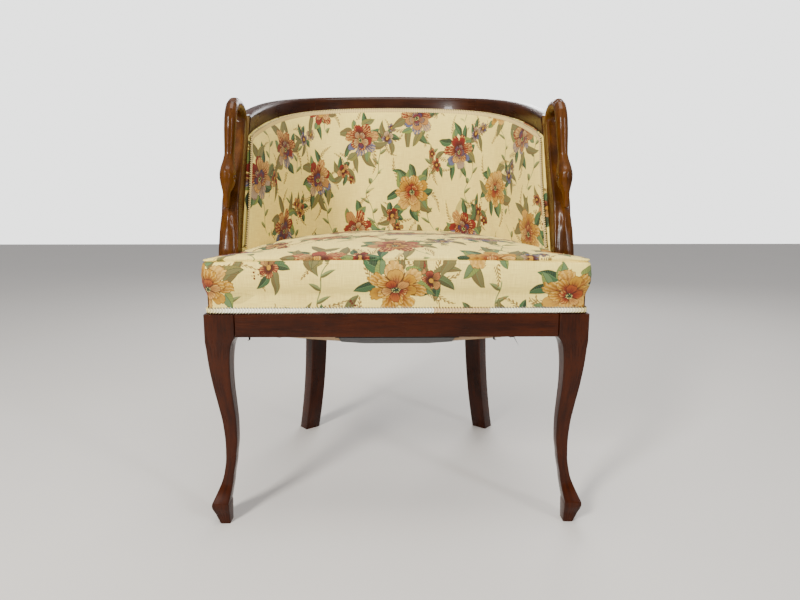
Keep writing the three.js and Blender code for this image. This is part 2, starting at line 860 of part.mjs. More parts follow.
// The front block lies behind the leg, against the front rail and the side rail.
function frontBlock() {
  const left = railThickness + clearance - halfWidth;
  const front = frontRailBack + clearance;
  const [legX, legY] = [clearance - legInnerFace, legBlockWidth + clearance];
  const shape = new THREE.Shape([
    new THREE.Vector2(left, legY),
    new THREE.Vector2(legX, legY),
    new THREE.Vector2(legX, front),
    new THREE.Vector2(legX + blockLeg, front),
    new THREE.Vector2(left, legY + blockLeg),
  ]);
  const block = new THREE.ExtrudeGeometry(shape, { depth: blockHeight, bevelEnabled: false });
  block.translate(0, 0, blockBottom);
  return cutFrom(block, ...frontBlockScrews(clearance));
}

function frontBlockScrews(room) {
  const [legX, legY] = [-legInnerFace, legBlockWidth];
  const set = blockLeg * frontScrewShare;
  const across = new THREE.Vector3(legX + blockLeg / 2, frontRailBack + set, blockMiddle);
  const aside = new THREE.Vector3(railThickness - halfWidth + set, legY + blockLeg / 2, blockMiddle);
  return [
    screwAt(across, new THREE.Vector3(0, -1, 0), screwLength, room),
    screwAt(aside, new THREE.Vector3(-1, 0, 0), screwLength, room),
  ];
}

const blockHalfTurn = (rearLegWidth / 2 + blockLeg / 2) / barrelLength;

function rearBlock() {
  const [inner, outer] = [railThickness + clearance + blockLeg / 2, railThickness + clearance];
  const block = alongBarrel(rearLegTurn - blockHalfTurn, rearLegTurn + blockHalfTurn, () => [
    [outer, blockBottom],
    [inner, blockBottom],
    [inner, blockBottom + blockHeight],
    [outer, blockBottom + blockHeight],
  ]);
  return cutFrom(block, rearLegSocket(), ...rearBlockScrews(clearance));
}

function rearBlockScrews(room) {
  return [-1, 1].map((side) => {
    const turn = rearLegTurn + side * (blockHalfTurn - blockLeg * rearScrewShare / barrelLength);
    const outer = barrelPoint(turn, 0, blockMiddle);
    const inner = barrelPoint(turn, railThickness + blockLeg / 2 - screwHeadHeight, blockMiddle);
    return screwAt(inner, outer.sub(inner), screwLength, room);
  });
}

// Seat platform: interlaced webbing, and hessian over it

const webLow = railTop + clearance;
const webStep = webThickness + clearance;
const webFlatHalf = webWidth / 2 + 2 * webThickness;
const webEdgeInset = railThickness - webLap + 2 * clearance;
const lengthwiseCentres = [-3, -1, 1, 3].map((step) => step * webCentreDistance / 2);
const crosswiseCentres = [0, 1, 2].map((step) => firstCrossWebDepth + step * webCentreDistance);

// The tacking line on the rails' tops, and where it crosses a place across or along the chair.
function tackingLine(turn) {
  return barrelPoint(turn, webEdgeInset, railTop);
}

function tackingDepthAt(spread) {
  return tackingLine(lastTurnWhere((turn) => -tackingLine(turn).x > spread)).y;
}

function tackingSpreadAt(depth) {
  return -tackingLine(lastTurnWhere((turn) => tackingLine(turn).y < depth)).x;
}

// A strap along one axis: it lies low at its ends and rises over every other strap it crosses.
function webStrap(from, to, crossings, risesAt, place) {
  const knots = [[from, 0]];
  crossings.forEach((centre, index) => {
    const level = risesAt(index) ? webStep : 0;
    knots.push([centre - webFlatHalf, level], [centre + webFlatHalf, level]);
  });
  knots.push([to, 0]);
  const outline = [[-1, 0], [1, 0], [1, 1], [-1, 1]].map(([across, up]) => new THREE.Vector2(across, up));
  return loft(knots.length, () => outline.map((point) => point.clone()), (point, row) => {
    const [along, level] = knots[row];
    return place(along, point.x * webWidth / 2, webLow + level + point.y * webThickness);
  });
}

function addWebbing() {
  lengthwiseCentres.forEach((centre, index) => {
    const end = tackingDepthAt(Math.abs(centre) + webWidth / 2);
    const strap = webStrap(
      frontRailBack - webLap,
      end,
      crosswiseCentres,
      (crossing) => (crossing + index) % 2 === 0,
      (along, across, height) => new THREE.Vector3(centre + across, along, height),
    );
    addPiece(`web_lengthwise_${index + 1}`, strap, jute);
  });
  crosswiseCentres.forEach((centre, index) => {
    const end = tackingSpreadAt(centre + webWidth / 2);
    const strap = webStrap(
      -end,
      end,
      lengthwiseCentres,
      (crossing) => (crossing + index) % 2 === 1,
      (along, across, height) => new THREE.Vector3(along, centre + across, height),
    );
    addPiece(`web_crosswise_${index + 1}`, strap, jute);
  });
}

// Inner upholstery: hessian, pad and cover follow the barrel, and the pad is full low down, thin
// at the crest and at the arms' fronts.
const hessianInset = tongueInner + clearance;
const padInset = hessianInset + clothThickness + clearance;
const padBottom = tackRailBottom - rabbetDepth;
const padRows = 6;

// Heights at which a flat layer bends, and those that a padded one needs for its swell.
function flatHeights(turn) {
  return [padBottom, wallLeanHeight, crestBottom(turn) - clearance];
}

function padHeights(turn) {
  const [bottom, lean, top] = flatHeights(turn);
  const above = Array.from({ length: padRows }, (_, row) => {
    return THREE.MathUtils.lerp(lean, top, Math.sin((row + 1) / padRows * Math.PI / 2));
  });
  return [bottom, lean, ...above];
}

function padThicknessAt(turn, height) {
  const share = Math.min(1, (height - padBottom) / (crestBottom(turn) - clearance - padBottom));
  const edge = THREE.MathUtils.lerp(padEdgeAtSeat, padEdgeAtCrest, share);
  const end = THREE.MathUtils.clamp((1 - sideways(turn) - 2 * innerFrontTurn) / padEndShare, 0, 1);
  const fullness = Math.sqrt(1 - (1 - end) ** 2) * (1 - share ** padFullness) ** (1 / padFullness);
  return edge + (padThickness - edge) * fullness;
}

// A layer of the barrel between the arms' fronts, from its back and its face in inset and height.
function layer(backAt, faceAt, from = innerFrontTurn) {
  return alongBarrel(from, 1 - from, (turn) => [...backAt(turn), ...faceAt(turn).reverse()]);
}

const innerFrontTurn = 2 * turnGap;
const atInset = (inset) => (turn) => flatHeights(turn).map((height) => [inset, height]);
const beyondPad = (gap) => (turn) => padHeights(turn).map((height) => [padFace(turn, height) + gap, height]);

function padFace(turn, height) {
  return padInset + padThicknessAt(turn, height);
}

function coverFace(turn, height) {
  return padFace(turn, height) + clearance + coverThickness;
}

function innerHessian() {
  return layer(atInset(hessianInset), atInset(hessianInset + clothThickness));
}

function innerPad() {
  return layer(atInset(padInset), beyondPad(0));
}

function innerCover() {
  return layer(beyondPad(clearance), beyondPad(clearance + coverThickness));
}

// A layer of the outside upholstery.
function outerLayer(inset, thickness, bottom, topAt) {
  const at = (depth) => (turn) => [bottom, wallLeanHeight, topAt(turn)].map((height) => [depth, height]);
  return layer(at(inset), at(inset + thickness));
}

function outerLiner() {
  const topAt = (turn) => tongueBottom(turn) - clearance;
  return outerLayer(linerInset, linerThickness, railTop + clearance, topAt);
}

const outerCoverInset = rabbetDepth - clearance - coverThickness;

function outerCover() {
  const topAt = (turn) => crestBottom(turn) - clearance;
  return outerLayer(outerCoverInset, coverThickness, showTopHeight + clearance, topAt);
}

// Seat

const hessianBottom = webLow + webStep + webThickness + clearance;
const foamBottom = hessianBottom + clothThickness + clearance;
const skirtSwell = coverThickness + clearance - rabbetDepth;

const frontPointShares = [0, 0.33, 0.66];
const seatBarrelStride = 2;
const seatFineSteps = 4;

// Plan of the seat, or of a cloth like it: out beyond the frame's sides and front by the swells in
// front of the arms, and behind them in from the barrel by an inset and a fit.
function seatPlan(sideSwell, frontSwell, fit, insetAt = seatSideInset) {
  const side = -halfWidth - sideSwell;
  const inner = fit - Math.min(postInner, halfWidth - insetAt(0));
  const half = frontPointShares.map((share) => new THREE.Vector2(share * side, -frontSwell));
  half.push(...frontCorner(sideSwell, frontSwell));
  half.push(new THREE.Vector2(side, seatReturnDepth / 2));
  half.push(new THREE.Vector2(side, seatReturnDepth - fit));
  half.push(new THREE.Vector2(inner, seatReturnDepth - fit));
  for (let step = 0; step <= barrelSteps / 2; step += step < seatFineSteps ? 1 : seatBarrelStride) {
    const turn = step / barrelSteps;
    const point = barrelPoint(turn, insetAt(turn) + fit, wallLeanHeight);
    half.push(new THREE.Vector2(Math.max(point.x, inner), point.y));
  }
  const right = half.slice(1, -1).map((point) => new THREE.Vector2(-point.x, point.y));
  return [...half, ...right.reverse()];
}

function seatSideInset(turn) {
  return coverFace(turn, padBottom) + clearance;
}

function seatTop(x, y) {
  const across = Math.min(1, Math.abs(x) / halfWidth);
  const along = THREE.MathUtils.clamp(y / seatRiseDepth, 0, 1);
  return seatEdgeHeight + seatCrown * (1 - across ** seatCrownPower) * (1 - (1 - along) ** seatCrownPower);
}

// Side of the seat: share of the height from the rails' top to the edge, and share of the bulge.
const seatSideShares = [
  [0.12, -0.3],
  [0.3, 0.6],
  [0.56, 1],
  [0.8, 0.75],
  [0.94, 0.1],
  [1, -0.7],
];
const seatTopShares = [0.93, 0.78, 0.5, 0.2];
const seatMiddleDepth = 60;

// The padded seat, shrunk by an amount, on rows of its own below the sides.
function seatBody(shrink, lowRows) {
  const rows = [...lowRows];
  for (const [heightShare, bulgeShare] of seatSideShares) {
    const height = THREE.MathUtils.lerp(railTop, seatEdgeHeight, heightShare);
    rows.push({ height, swell: bulgeShare * seatBulge, front: bulgeShare * seatFrontBulge, spread: 1 });
  }
  const edge = rows[rows.length - 1];
  seatTopShares.forEach((spread) => rows.push({ ...edge, spread }));
  return loft(
    rows.length,
    (row) => seatPlan(rows[row].swell - shrink, rows[row].front - shrink, shrink),
    (point, row) => {
      const { height, spread } = rows[row];
      const x = point.x * spread;
      const y = seatMiddleDepth + (point.y - seatMiddleDepth) * spread;
      const top = seatTop(x, y) - shrink;
      return new THREE.Vector3(x, y, height === seatEdgeHeight ? top : Math.min(height, top));
    },
  );
}

function skirtRows(bottom) {
  const skirt = { swell: skirtSwell, front: skirtSwell, spread: 1 };
  return [{ ...skirt, height: bottom }, { ...skirt, height: railTop }];
}

function seatFoam() {
  const shrink = coverThickness + clearance;
  const bottom = { height: foamBottom, swell: skirtSwell, front: skirtSwell, spread: 1 };
  return seatBody(shrink, [bottom]);
}

// The cover is a skin that is open below: a skirt hangs over the rails in front of the arms.
function seatCover() {
  const outer = seatBody(0, skirtRows(showTopHeight + clearance));
  const inner = seatBody(coverThickness, skirtRows(showTopHeight - overrun));
  const heights = [showTopHeight - overrun, foamBottom];
  const room = loft(
    heights.length,
    () => seatPlan(clearance - rabbetDepth, clearance - rabbetDepth, -overrun),
    (point, row) => new THREE.Vector3(point.x, point.y, heights[row]),
  );
  return cutFrom(outer, inner, room);
}

// Hessian over the webbing, trimmed clear of the posts and the stiles.
function seatHessian() {
  const stileZone = stileHalfTurn + seatBarrelStride / barrelSteps;
  const insetAt = (turn) => (Math.abs(turn - rearLegTurn) < stileZone ? railThickness : webEdgeInset);
  const heights = [hessianBottom, hessianBottom + clothThickness];
  return loft(
    heights.length,
    () => seatPlan(-webEdgeInset, -webEdgeInset, clearance, insetAt),
    (point, row) => new THREE.Vector3(point.x, point.y, heights[row]),
  );
}

// Cloth under the seat, tacked to the rails' undersides between the legs and sagging in the middle.
function bottomCloth(top) {
  const levels = clothShares.map((spread) => ({ spread, under: 0 }));
  levels.push(...levels.map(({ spread }) => ({ spread, under: clothThickness })).reverse());
  const cloth = loft(
    levels.length,
    () => seatPlan(-webEdgeInset, -webEdgeInset, clearance, () => webEdgeInset),
    (point, row) => {
      const { spread, under } = levels[row];
      const y = bottomMiddleDepth + (point.y - bottomMiddleDepth) * spread;
      const sag = bottomSag * Math.cos(spread * Math.PI / 2) ** 2;
      return new THREE.Vector3(point.x * spread, y, top - sag - under);
    },
  );
  const low = top - bottomSag;
  const frontLegRoom = boxBetween(
    [-halfWidth, 0, low],
    [clearance - legInnerFace, legBlockWidth + clearance, railTop],
  );
  const rearLegRoom = rearLegSocket().translate(0, 0, -overrun);
  const rooms = [frontLegRoom, rearLegRoom];
  return cutFrom(cloth, ...rooms, ...rooms.map(mirrored));
}

// The patch is a strip of the same cloth's shape, below it.
function dustCoverPatch() {
  const top = railBottom - 2 * clearance - clothThickness;
  const low = top - bottomSag - overrun;
  const beside = boxBetween([-halfWidth, 0, low], [-patchHalfWidth, crestBackDepth, railTop]);
  return cutFrom(bottomCloth(top), beside, mirrored(beside));
}

// Braid

function seatGimp() {
  const swell = skirtSwell + clearance;
  const corner = frontCorner(swell, swell);
  const side = -halfWidth - swell;
  const middle = frontPointShares.map((share) => new THREE.Vector2(share * side, -swell));
  const left = [new THREE.Vector2(side, seatReturnDepth), ...corner.reverse(), ...middle.reverse()];
  const right = left.slice(0, -1).map((point) => new THREE.Vector2(-point.x, point.y)).reverse();
  const height = showTopHeight + clearance + gimpWidth / 2;
  const points = [...left, ...right].map((point) => new THREE.Vector3(point.x, point.y, height));
  const normals = points.map((_, index) => {
    const next = points[Math.min(index + 1, points.length - 1)];
    const along = next.clone().sub(points[Math.max(index - 1, 0)]);
    return new THREE.Vector3(along.y, -along.x, 0).normalize();
  });
  return ribbon(points, normals, gimpWidth, gimpThickness);
}

// Braid along the outside, with its lower edge at heights that follow the turn.
function outerGimp(lowAt) {
  const back = outerCoverInset - clearance;
  const at = (inset) => (turn) => [lowAt(turn), lowAt(turn) + gimpWidth].map((height) => [inset, height]);
  return layer(at(back - gimpThickness), at(back));
}

// Braid on the inner cover: up one arm's front, round under the crest and down the other's.
function innerGimp() {
  const edgeTurn = gimpWidth / 2 / barrelLength + innerFrontTurn;
  const bend = gimpWidth / barrelLength;
  const topAt = (turn) => crestBottom(turn) - gimpWidth / 2 - clearance;
  const [start, end] = [seatEdgeHeight + gimpWidth, topAt(edgeTurn) - gimpWidth];
  const rise = padHeights(edgeTurn).filter((height) => height > start && height < end);
  const up = [start, ...rise, end].map((height) => [edgeTurn, height]);
  const corner = [edgeTurn + bend * gimpTurnShare, topAt(edgeTurn) - gimpWidth * gimpTurnShare];
  const top = turnsBetween(edgeTurn + bend, 1 / 2).map((turn) => [turn, topAt(turn)]);
  const left = [...up, corner, ...top];
  const right = left.slice(0, -1).reverse().map(([turn, height]) => [1 - turn, height]);
  const path = [...left, ...right];
  const surface = (turn, height) => barrelPoint(turn, coverFace(turn, height), height);
  const normals = path.map(([turn, height]) => {
    const aside = surface(turn + turnGap, height).sub(surface(turn - turnGap, height));
    const up = surface(turn, height + clearance).sub(surface(turn, height - clearance));
    return aside.cross(up).normalize();
  });
  const sunk = path.map(([turn, height], row) => {
    return surface(turn, height).addScaledVector(normals[row], -overrun);
  });
  const strip = ribbon(sunk, normals, gimpWidth, overrun + clearance + gimpThickness);
  return cutFrom(strip, layer(atInset(0), beyondPad(2 * clearance + coverThickness), 0));
}

// Assembly

addPair("front_leg", frontLeg(), wood);
addPair("rear_leg", rearLeg(), wood);
addPiece("front_rail", frontRail(), wood);
addPair("side_rail", sideRail(), wood);
addPiece("rear_rail", rearRail(), wood);
addPair("front_block", frontBlock(), beech);
addPair("rear_block", rearBlock(), beech);
frontBlockScrews(0).forEach((screw, index) => addPair(`front_block_screw_${index + 1}`, screw, steel));
rearBlockScrews(0).forEach((screw, index) => addPair(`rear_block_screw_${index + 1}`, screw, steel));
addPiece("crest_rail", crestRail(), wood);
addPair("arm_rail", armRail(), wood);
addPair("crest_dowel", dowelAt(crestJointTurn, 0), beech);
addPair("swan_post", swanPost(), wood);
addPair("neck_dowel", dowelAt(0, 0), beech);
addPair("post_screw", postScrew(0), steel);
addPair("tack_rail", tackRail(innerFrontTurn, rearLegTurn - stileHalfTurn - turnGap), beech);
addPiece("tack_rail_back", tackRail(stileEndTurn, 1 - stileEndTurn), beech);
addWebbing();
addPiece("seat_hessian", seatHessian(), jute);
addPiece("seat_foam", seatFoam(), foam);
addPiece("seat_cover", seatCover(), fabric);
addPiece("seat_gimp", seatGimp(), braid);
addPiece("bottom_hessian", bottomCloth(railBottom - clearance), jute);
addPiece("dust_cover_patch", dustCoverPatch(), blackCloth);
addPiece("inner_hessian", innerHessian(), jute);
addPiece("inner_pad", innerPad(), foam);
addPiece("inner_cover", innerCover(), fabric);
addPiece("inner_gimp", innerGimp(), braid);
addPiece("outer_liner", outerLiner(), jute);
addPiece("outer_cover", outerCover(), fabric);
addPiece("outer_lower_gimp", outerGimp(() => showTopHeight + clearance), braid);
addPiece("outer_top_gimp", outerGimp((turn) => crestBottom(turn) - clearance - gimpWidth), braid);

// The chair's origin is the middle of its footprint, on the floor.
const bounds = new THREE.Box3().setFromObject(chair);
chair.position.set(
  -(bounds.min.x + bounds.max.x) / 2,
  -(bounds.min.y + bounds.max.y) / 2,
  -bounds.min.z,
);

export default chair;
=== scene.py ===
"""Looks of the bergere chair: carved swan arms, show-wood barrel back, floral tapestry and braid.

Metres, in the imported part's own frame. Depths are counted back from the front faces of the legs,
as in the part's source, and become places only in the last step of each function.
"""

import math

import bmesh
import bpy
import numpy as np
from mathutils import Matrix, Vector, noise


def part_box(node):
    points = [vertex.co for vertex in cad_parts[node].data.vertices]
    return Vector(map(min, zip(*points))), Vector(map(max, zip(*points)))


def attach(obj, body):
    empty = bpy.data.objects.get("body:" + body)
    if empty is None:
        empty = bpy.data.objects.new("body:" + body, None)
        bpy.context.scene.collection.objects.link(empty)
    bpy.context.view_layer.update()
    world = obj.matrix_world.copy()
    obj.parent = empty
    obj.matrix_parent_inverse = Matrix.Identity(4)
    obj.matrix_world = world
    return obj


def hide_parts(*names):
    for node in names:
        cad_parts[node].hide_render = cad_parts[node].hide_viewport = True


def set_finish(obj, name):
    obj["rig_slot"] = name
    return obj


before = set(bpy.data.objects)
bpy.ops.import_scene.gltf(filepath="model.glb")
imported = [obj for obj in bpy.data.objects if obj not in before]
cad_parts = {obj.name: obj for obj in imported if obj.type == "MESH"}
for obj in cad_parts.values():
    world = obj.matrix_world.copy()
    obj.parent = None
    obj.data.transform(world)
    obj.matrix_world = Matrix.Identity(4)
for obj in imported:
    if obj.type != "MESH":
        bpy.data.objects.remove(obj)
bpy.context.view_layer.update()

full_turn = 2 * math.pi

# Sizes that the part's source gives to the frame
half_width = 0.295
show_top = 0.344
rail_height = 0.036
rail_thickness = 0.024
rail_top = 0.372
rabbet = 0.006
clearance = 0.0003
rail_setback = 0.003
leg_block = 0.046
spring_depth = 0.070
lean_height = 0.430
crest_height = 0.742
arm_drop = 0.076
crest_thickness = 0.027
crest_face = 0.027
arm_face = 0.038
crest_rounding = 0.009
crest_tongue = 0.012
rear_leg_spread = 0.185
rear_leg_width = 0.038
rear_leg_thickness = 0.030
rear_foot_width = 0.035
rear_foot_thickness = 0.028
rear_leg_flare = 0.037
rear_knee_height = 0.262
stile_width = 0.034

# Sizes of the upholstery
seat_edge = 0.426
seat_crown = 0.021
seat_rise_depth = 0.160
crown_power = 2.3
corner_radius = 0.012
return_depth = 0.071
inner_seat_half = 0.2577
foam_bottom = 0.3772
cover_thickness = 0.0014
cloth_thickness = 0.001
pad_bottom = 0.386
pad_thickness = 0.031
pad_edge_at_seat = 0.011
pad_edge_at_crest = 0.0012
pad_end_share = 0.2
pad_fullness = 2.4
gimp_width = 0.011
gimp_thickness = 0.002

rail_bottom = show_top - rail_height
tongue_inner = crest_thickness - rabbet
hessian_inset = tongue_inner + clearance
pad_inset = hessian_inset + cloth_thickness + clearance
stile_outer = rabbet + 5 * clearance + cloth_thickness
stile_inner = tongue_inner - 2 * clearance
cover_inset = rabbet - clearance - cover_thickness
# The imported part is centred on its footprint, so its front rail says how far back that is.
depth_centre = rail_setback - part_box("front_rail")[0].y


# Meshes


def grid_at(places, pattern=None):
    """A mesh grid whose points lie at places[row, column], with its pattern's place as a UV map."""
    rows, columns = places.shape[:2]
    bm = bmesh.new()
    bmesh.ops.create_grid(bm, x_segments=columns - 1, y_segments=rows - 1, size=1)
    for vert, place in zip(bm.verts, places.reshape(-1, 3)):
        vert.co = place
    if pattern is not None:
        layer = bm.loops.layers.uv.new("cloth")
        flat = pattern.reshape(-1, 2)
        for face in bm.faces:
            for loop in face.loops:
                loop[layer].uv = flat[loop.vert.index]
    return bm


def swept(rows, along=None, around=None):
    """A closed body through rows of outlines, with the grain running from row to row."""
    rows = np.concatenate([rows, rows[:, :1]], axis=1)
    if along is None:
        steps = np.linalg.norm(np.diff(rows, axis=0), axis=2).mean(axis=1)
        along = np.concatenate([[0], np.cumsum(steps)])
    if around is None:
        turns = np.linalg.norm(np.diff(rows, axis=1), axis=2).mean(axis=0)
        around = np.concatenate([[0], np.cumsum(turns)])
    pattern = np.stack(np.meshgrid(around, along), axis=-1)
    bm = grid_at(rows, pattern)
    bmesh.ops.remove_doubles(bm, verts=bm.verts, dist=1e-6)
    open_edges = [edge for edge in bm.edges if edge.is_boundary]
    bmesh.ops.holes_fill(bm, edges=open_edges, sides=0)
    bmesh.ops.recalc_face_normals(bm, faces=bm.faces)
    return bm


def join_in(bm, part):
    """Adds a finished mesh to one that is being built."""
    mesh = bpy.data.meshes.new("part")
    part.to_mesh(mesh)
    part.free()
    bm.from_mesh(mesh)


def merged_copy(node):
    """A node's mesh as one connected body."""
    bm = bmesh.new()
    bm.from_mesh(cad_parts[node].data)
    bmesh.ops.remove_doubles(bm, verts=bm.verts, dist=1e-6)
    return bm


def new_object(name, data):
    added = bpy.data.objects.new(name, data)
    bpy.context.scene.collection.objects.link(added)
    return added


def make_piece(name, bm, finish, slot, *nodes):
    mesh = bpy.data.meshes.new(name)
    bm.to_mesh(mesh)
    bm.free()
    mesh.shade_smooth()
    mesh.materials.append(finish)
    piece = new_object(name, mesh)
    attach(piece, "root")
    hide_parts(*nodes)
    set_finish(piece, slot)
    return piece


def make_mirrored(piece, name, *nodes):
    bm = bmesh.new()
    bm.from_mesh(piece.data)
    bmesh.ops.scale(bm, verts=bm.verts, vec=(-1, 1, 1))
    bmesh.ops.reverse_faces(bm, faces=bm.faces)
    copy = make_piece(name, bm, piece.data.materials[0], piece["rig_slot"], *nodes)
    for modifier in piece.modifiers:
        if modifier.type == "BEVEL":
            round_edges(copy, modifier.width, modifier.segments)
    return copy


def make_member(node, bm, finish, rounding):
    """A member of the show wood, and its mirror image where its node is the left one of two."""
    member = make_piece(f"{node}_wood", bm, finish, "show_wood", node)
    round_edges(member, rounding)
    if node.endswith("_left"):
        other = node.replace("_left", "_right")
        make_mirrored(member, f"{other}_wood", other)


def round_edges(piece, width, segments=2):
    bevel = piece.modifiers.new("rounded_edges", "BEVEL")
    bevel.width = width
    bevel.segments = segments
    bevel.limit_method = "ANGLE"
    bevel.angle_limit = math.radians(32)
    bevel.harden_normals = True


def subdivide(piece, levels):
    subdivision = piece.modifiers.new("subdivision", "SUBSURF")
    subdivision.levels = levels
    subdivision.render_levels = levels


def give_wall(piece, thickness, offset=-1):
    wall = piece.modifiers.new("cloth_wall", "SOLIDIFY")
    wall.thickness = thickness
    wall.offset = offset
    wall.use_even_offset = True


# Plan of the barrel back


def unit(vectors):
    return vectors / np.linalg.norm(vectors, axis=-1, keepdims=True)


# Near its ends the wall turns square to the sides, over this share of its length.
square_end_share = 1 / 44
small_step = 0.001


class BarrelLevel:
    """One level of the barrel's plan, from the left arm's front round the back to the right's."""

    def __init__(self, half, back_depth, fullness, front_depth):
        self.half = half
        self.reach = back_depth - spring_depth
        self.power = 2 / fullness
        self.start = math.asin(((front_depth - spring_depth) / self.reach) ** (1 / self.power))
        self.steps = np.linspace(0, 1, 201)
        chords = np.linalg.norm(np.diff(self.at(self.steps), axis=0), axis=1)
        self.length = chords.sum()
        self.shares = np.concatenate([[0], np.cumsum(chords)]) / self.length

    def at(self, step):
        angle = self.start + (math.pi - 2 * self.start) * step
        across = np.cos(angle)
        x = -self.half * np.sign(across) * np.abs(across) ** self.power
        return np.stack([x, spring_depth + self.reach * np.sin(angle) ** self.power], axis=-1)

    def place(self, turn):
        """The point at a turn, and the level's direction there: square to the sides at its ends."""
        step = np.interp(turn, self.shares, self.steps)
        ahead, behind = np.minimum(step + small_step, 1), np.maximum(step - small_step, 0)
        along = unit(self.at(ahead) - self.at(behind))
        inward = np.clip((0.5 - np.abs(turn - 0.5)) / square_end_share, 0, 1)[..., None]
        square = np.stack([np.zeros_like(turn), np.where(turn < 0.5, 1.0, -1.0)], axis=-1)
        return self.at(step), unit(square + (along - square) * inward)


seat_level = BarrelLevel(half_width, 0.464, 2.5, 0.108)
crest_level = BarrelLevel(half_width - 0.010, 0.506, 3, 0.236)
barrel_length = seat_level.length


def barrel_point(turn, inset, height):
    """A point of the wall, by its turn, its inset from the frame's outer face and its height."""
    values = (np.asarray(value, float) for value in (turn, inset, height))
    turn, inset, height = np.broadcast_arrays(*values)
    share = np.maximum(0, (height - lean_height) / (crest_height - lean_height))[..., None]
    (low, low_along), (high, high_along) = seat_level.place(turn), crest_level.place(turn)
    point = low + (high - low) * share
    along = unit(low_along + (high_along - low_along) * share)
    x = point[..., 0] + along[..., 1] * inset
    y = point[..., 1] - along[..., 0] * inset
    return np.stack([x, y - depth_centre, height], axis=-1)


def sideways(turn):
    return np.abs(np.asarray(turn) * 2 - 1)


def crest_top(turn):
    return crest_height - arm_drop * sideways(turn) ** 2.5


def crest_bottom(turn):
    return crest_top(turn) - crest_face - (arm_face - crest_face) * sideways(turn) ** 2


def pad_thickness_at(turn, height):
    share = np.clip((height - pad_bottom) / (crest_bottom(turn) - clearance - pad_bottom), 0, 1)
    edge = pad_edge_at_seat + (pad_edge_at_crest - pad_edge_at_seat) * share
    end = np.clip((1 - sideways(turn) - 4 * turn_gap) / pad_end_share, 0, 1)
    fullness = np.sqrt(1 - (1 - end) ** 2) * (1 - share**pad_fullness) ** (1 / pad_fullness)
    return edge + (pad_thickness - edge) * fullness


def cover_face(turn, height):
    return pad_inset + pad_thickness_at(turn, height) + clearance + cover_thickness


def last_turn_where(holds):
    low, high = 0.0, 0.5
    for _ in range(40):
        middle = (low + high) / 2
        low, high = (middle, high) if holds(middle) else (low, middle)
    return low


turn_gap = clearance / barrel_length
stile_half_turn = stile_width / 2 / barrel_length
leg_half_turn = (rear_leg_width / 2 + clearance) / barrel_length
rear_leg_turn = last_turn_where(lambda turn: -barrel_point(turn, 0, 0)[0] > rear_leg_spread)
front_turn = 2 * turn_gap


# Shader nodes


def paint(red, green, blue):
    """A colour as a screen shows it, in the shader's own scale."""
    shares = np.array([red, green, blue]) / 255
    linear = np.where(shares <= 0.04045, shares / 12.92, ((shares + 0.055) / 1.055) ** 2.4)
    return (*linear.tolist(), 1.0)


class Wire:
    """An output in a node tree that formulas can be written with."""

    def __init__(self, nodes, socket):
        self.nodes = nodes
        self.socket = socket

    def math(self, operation, *others, clamp=False):
        return self.nodes.add("Math", self, *others, operation=operation, use_clamp=clamp)

    def __add__(self, other):
        return self.math("ADD", other)

    def __sub__(self, other):
        return self.math("SUBTRACT", other)

    def __mul__(self, other):
        return self.math("MULTIPLY", other)

    def __truediv__(self, other):
        return self.math("DIVIDE", other)

    def __pow__(self, other):
        return self.math("POWER", other)

    def over(self, edge, softness):
        """1 where the value is above an edge, 0 below it, and soft between."""
        return (self - edge).math("MULTIPLY_ADD", 1 / softness, 0.5, clamp=True)

    def under(self, edge, softness):
        return self.over(edge, -softness)

    def clamped(self):
        """The value, kept from 0 to 1."""
        return self.math("ADD", 0.0, clamp=True)

    def either(self, other):
        return self.math("MAXIMUM", other)


class Nodes:
    """A node tree that is built by formulas."""

    def __init__(self, tree):
        self.tree = tree

    def join(self, value, socket):
        if isinstance(value, Wire):
            self.tree.links.new(value.socket, socket)
        elif value is not None:
            socket.default_value = value

    def add(self, kind, *values, output=0, **settings):
        node = self.tree.nodes.new("ShaderNode" + kind)
        for name, value in settings.items():
            setattr(node, name, value)
        for value, socket in zip(values, node.inputs):
            self.join(value, socket)
        return Wire(self, node.outputs[output])

    def vector(self, operation, *values, output=0):
        return self.add("VectorMath", *values, output=output, operation=operation)

    def scaled(self, vector, factor):
        """A vector whose parts are multiplied by a number each."""
        return self.vector("MULTIPLY", vector, factor)

    def length(self, vector):
        return self.vector("LENGTH", vector, output=1)

    def parts(self, vector):
        node = self.tree.nodes.new("ShaderNodeSeparateXYZ")
        self.join(vector, node.inputs[0])
        return [Wire(self, socket) for socket in node.outputs]

    def noise(self, vector, scale, detail=2.0, roughness=0.5, output=0):
        node = self.tree.nodes.new("ShaderNodeTexNoise")
        settings = {"Vector": vector, "Scale": scale, "Detail": detail, "Roughness": roughness}
        for label, value in settings.items():
            self.join(value, node.inputs[label])
        return Wire(self, node.outputs[output])

    def blend(self, mask, below, above):
        node = self.tree.nodes.new("ShaderNodeMix")
        node.data_type = "RGBA"
        for index, value in ((0, mask), (6, below), (7, above)):
            self.join(value, node.inputs[index])
        return Wire(self, node.outputs[2])

    def chosen(self, number, *stops, interpolation="LINEAR"):
        """A colour from (place, colour) stops."""
        node = self.tree.nodes.new("ShaderNodeValToRGB")
        ramp = node.color_ramp
        ramp.interpolation = interpolation
        while len(ramp.elements) < len(stops):
            ramp.elements.new(0.5)
        for element, (place, colour) in zip(ramp.elements, stops):
            element.position = place
            element.color = colour
        self.join(number, node.inputs[0])
        return Wire(self, node.outputs[0])

    def uses(self, group, *values):
        """The outputs of a shared group, fed with values in its inputs' order."""
        node = self.tree.nodes.new("ShaderNodeGroup")
        node.node_tree = group
        for value, socket in zip(values, node.inputs):
            self.join(value, socket)
        return [Wire(self, socket) for socket in node.outputs]


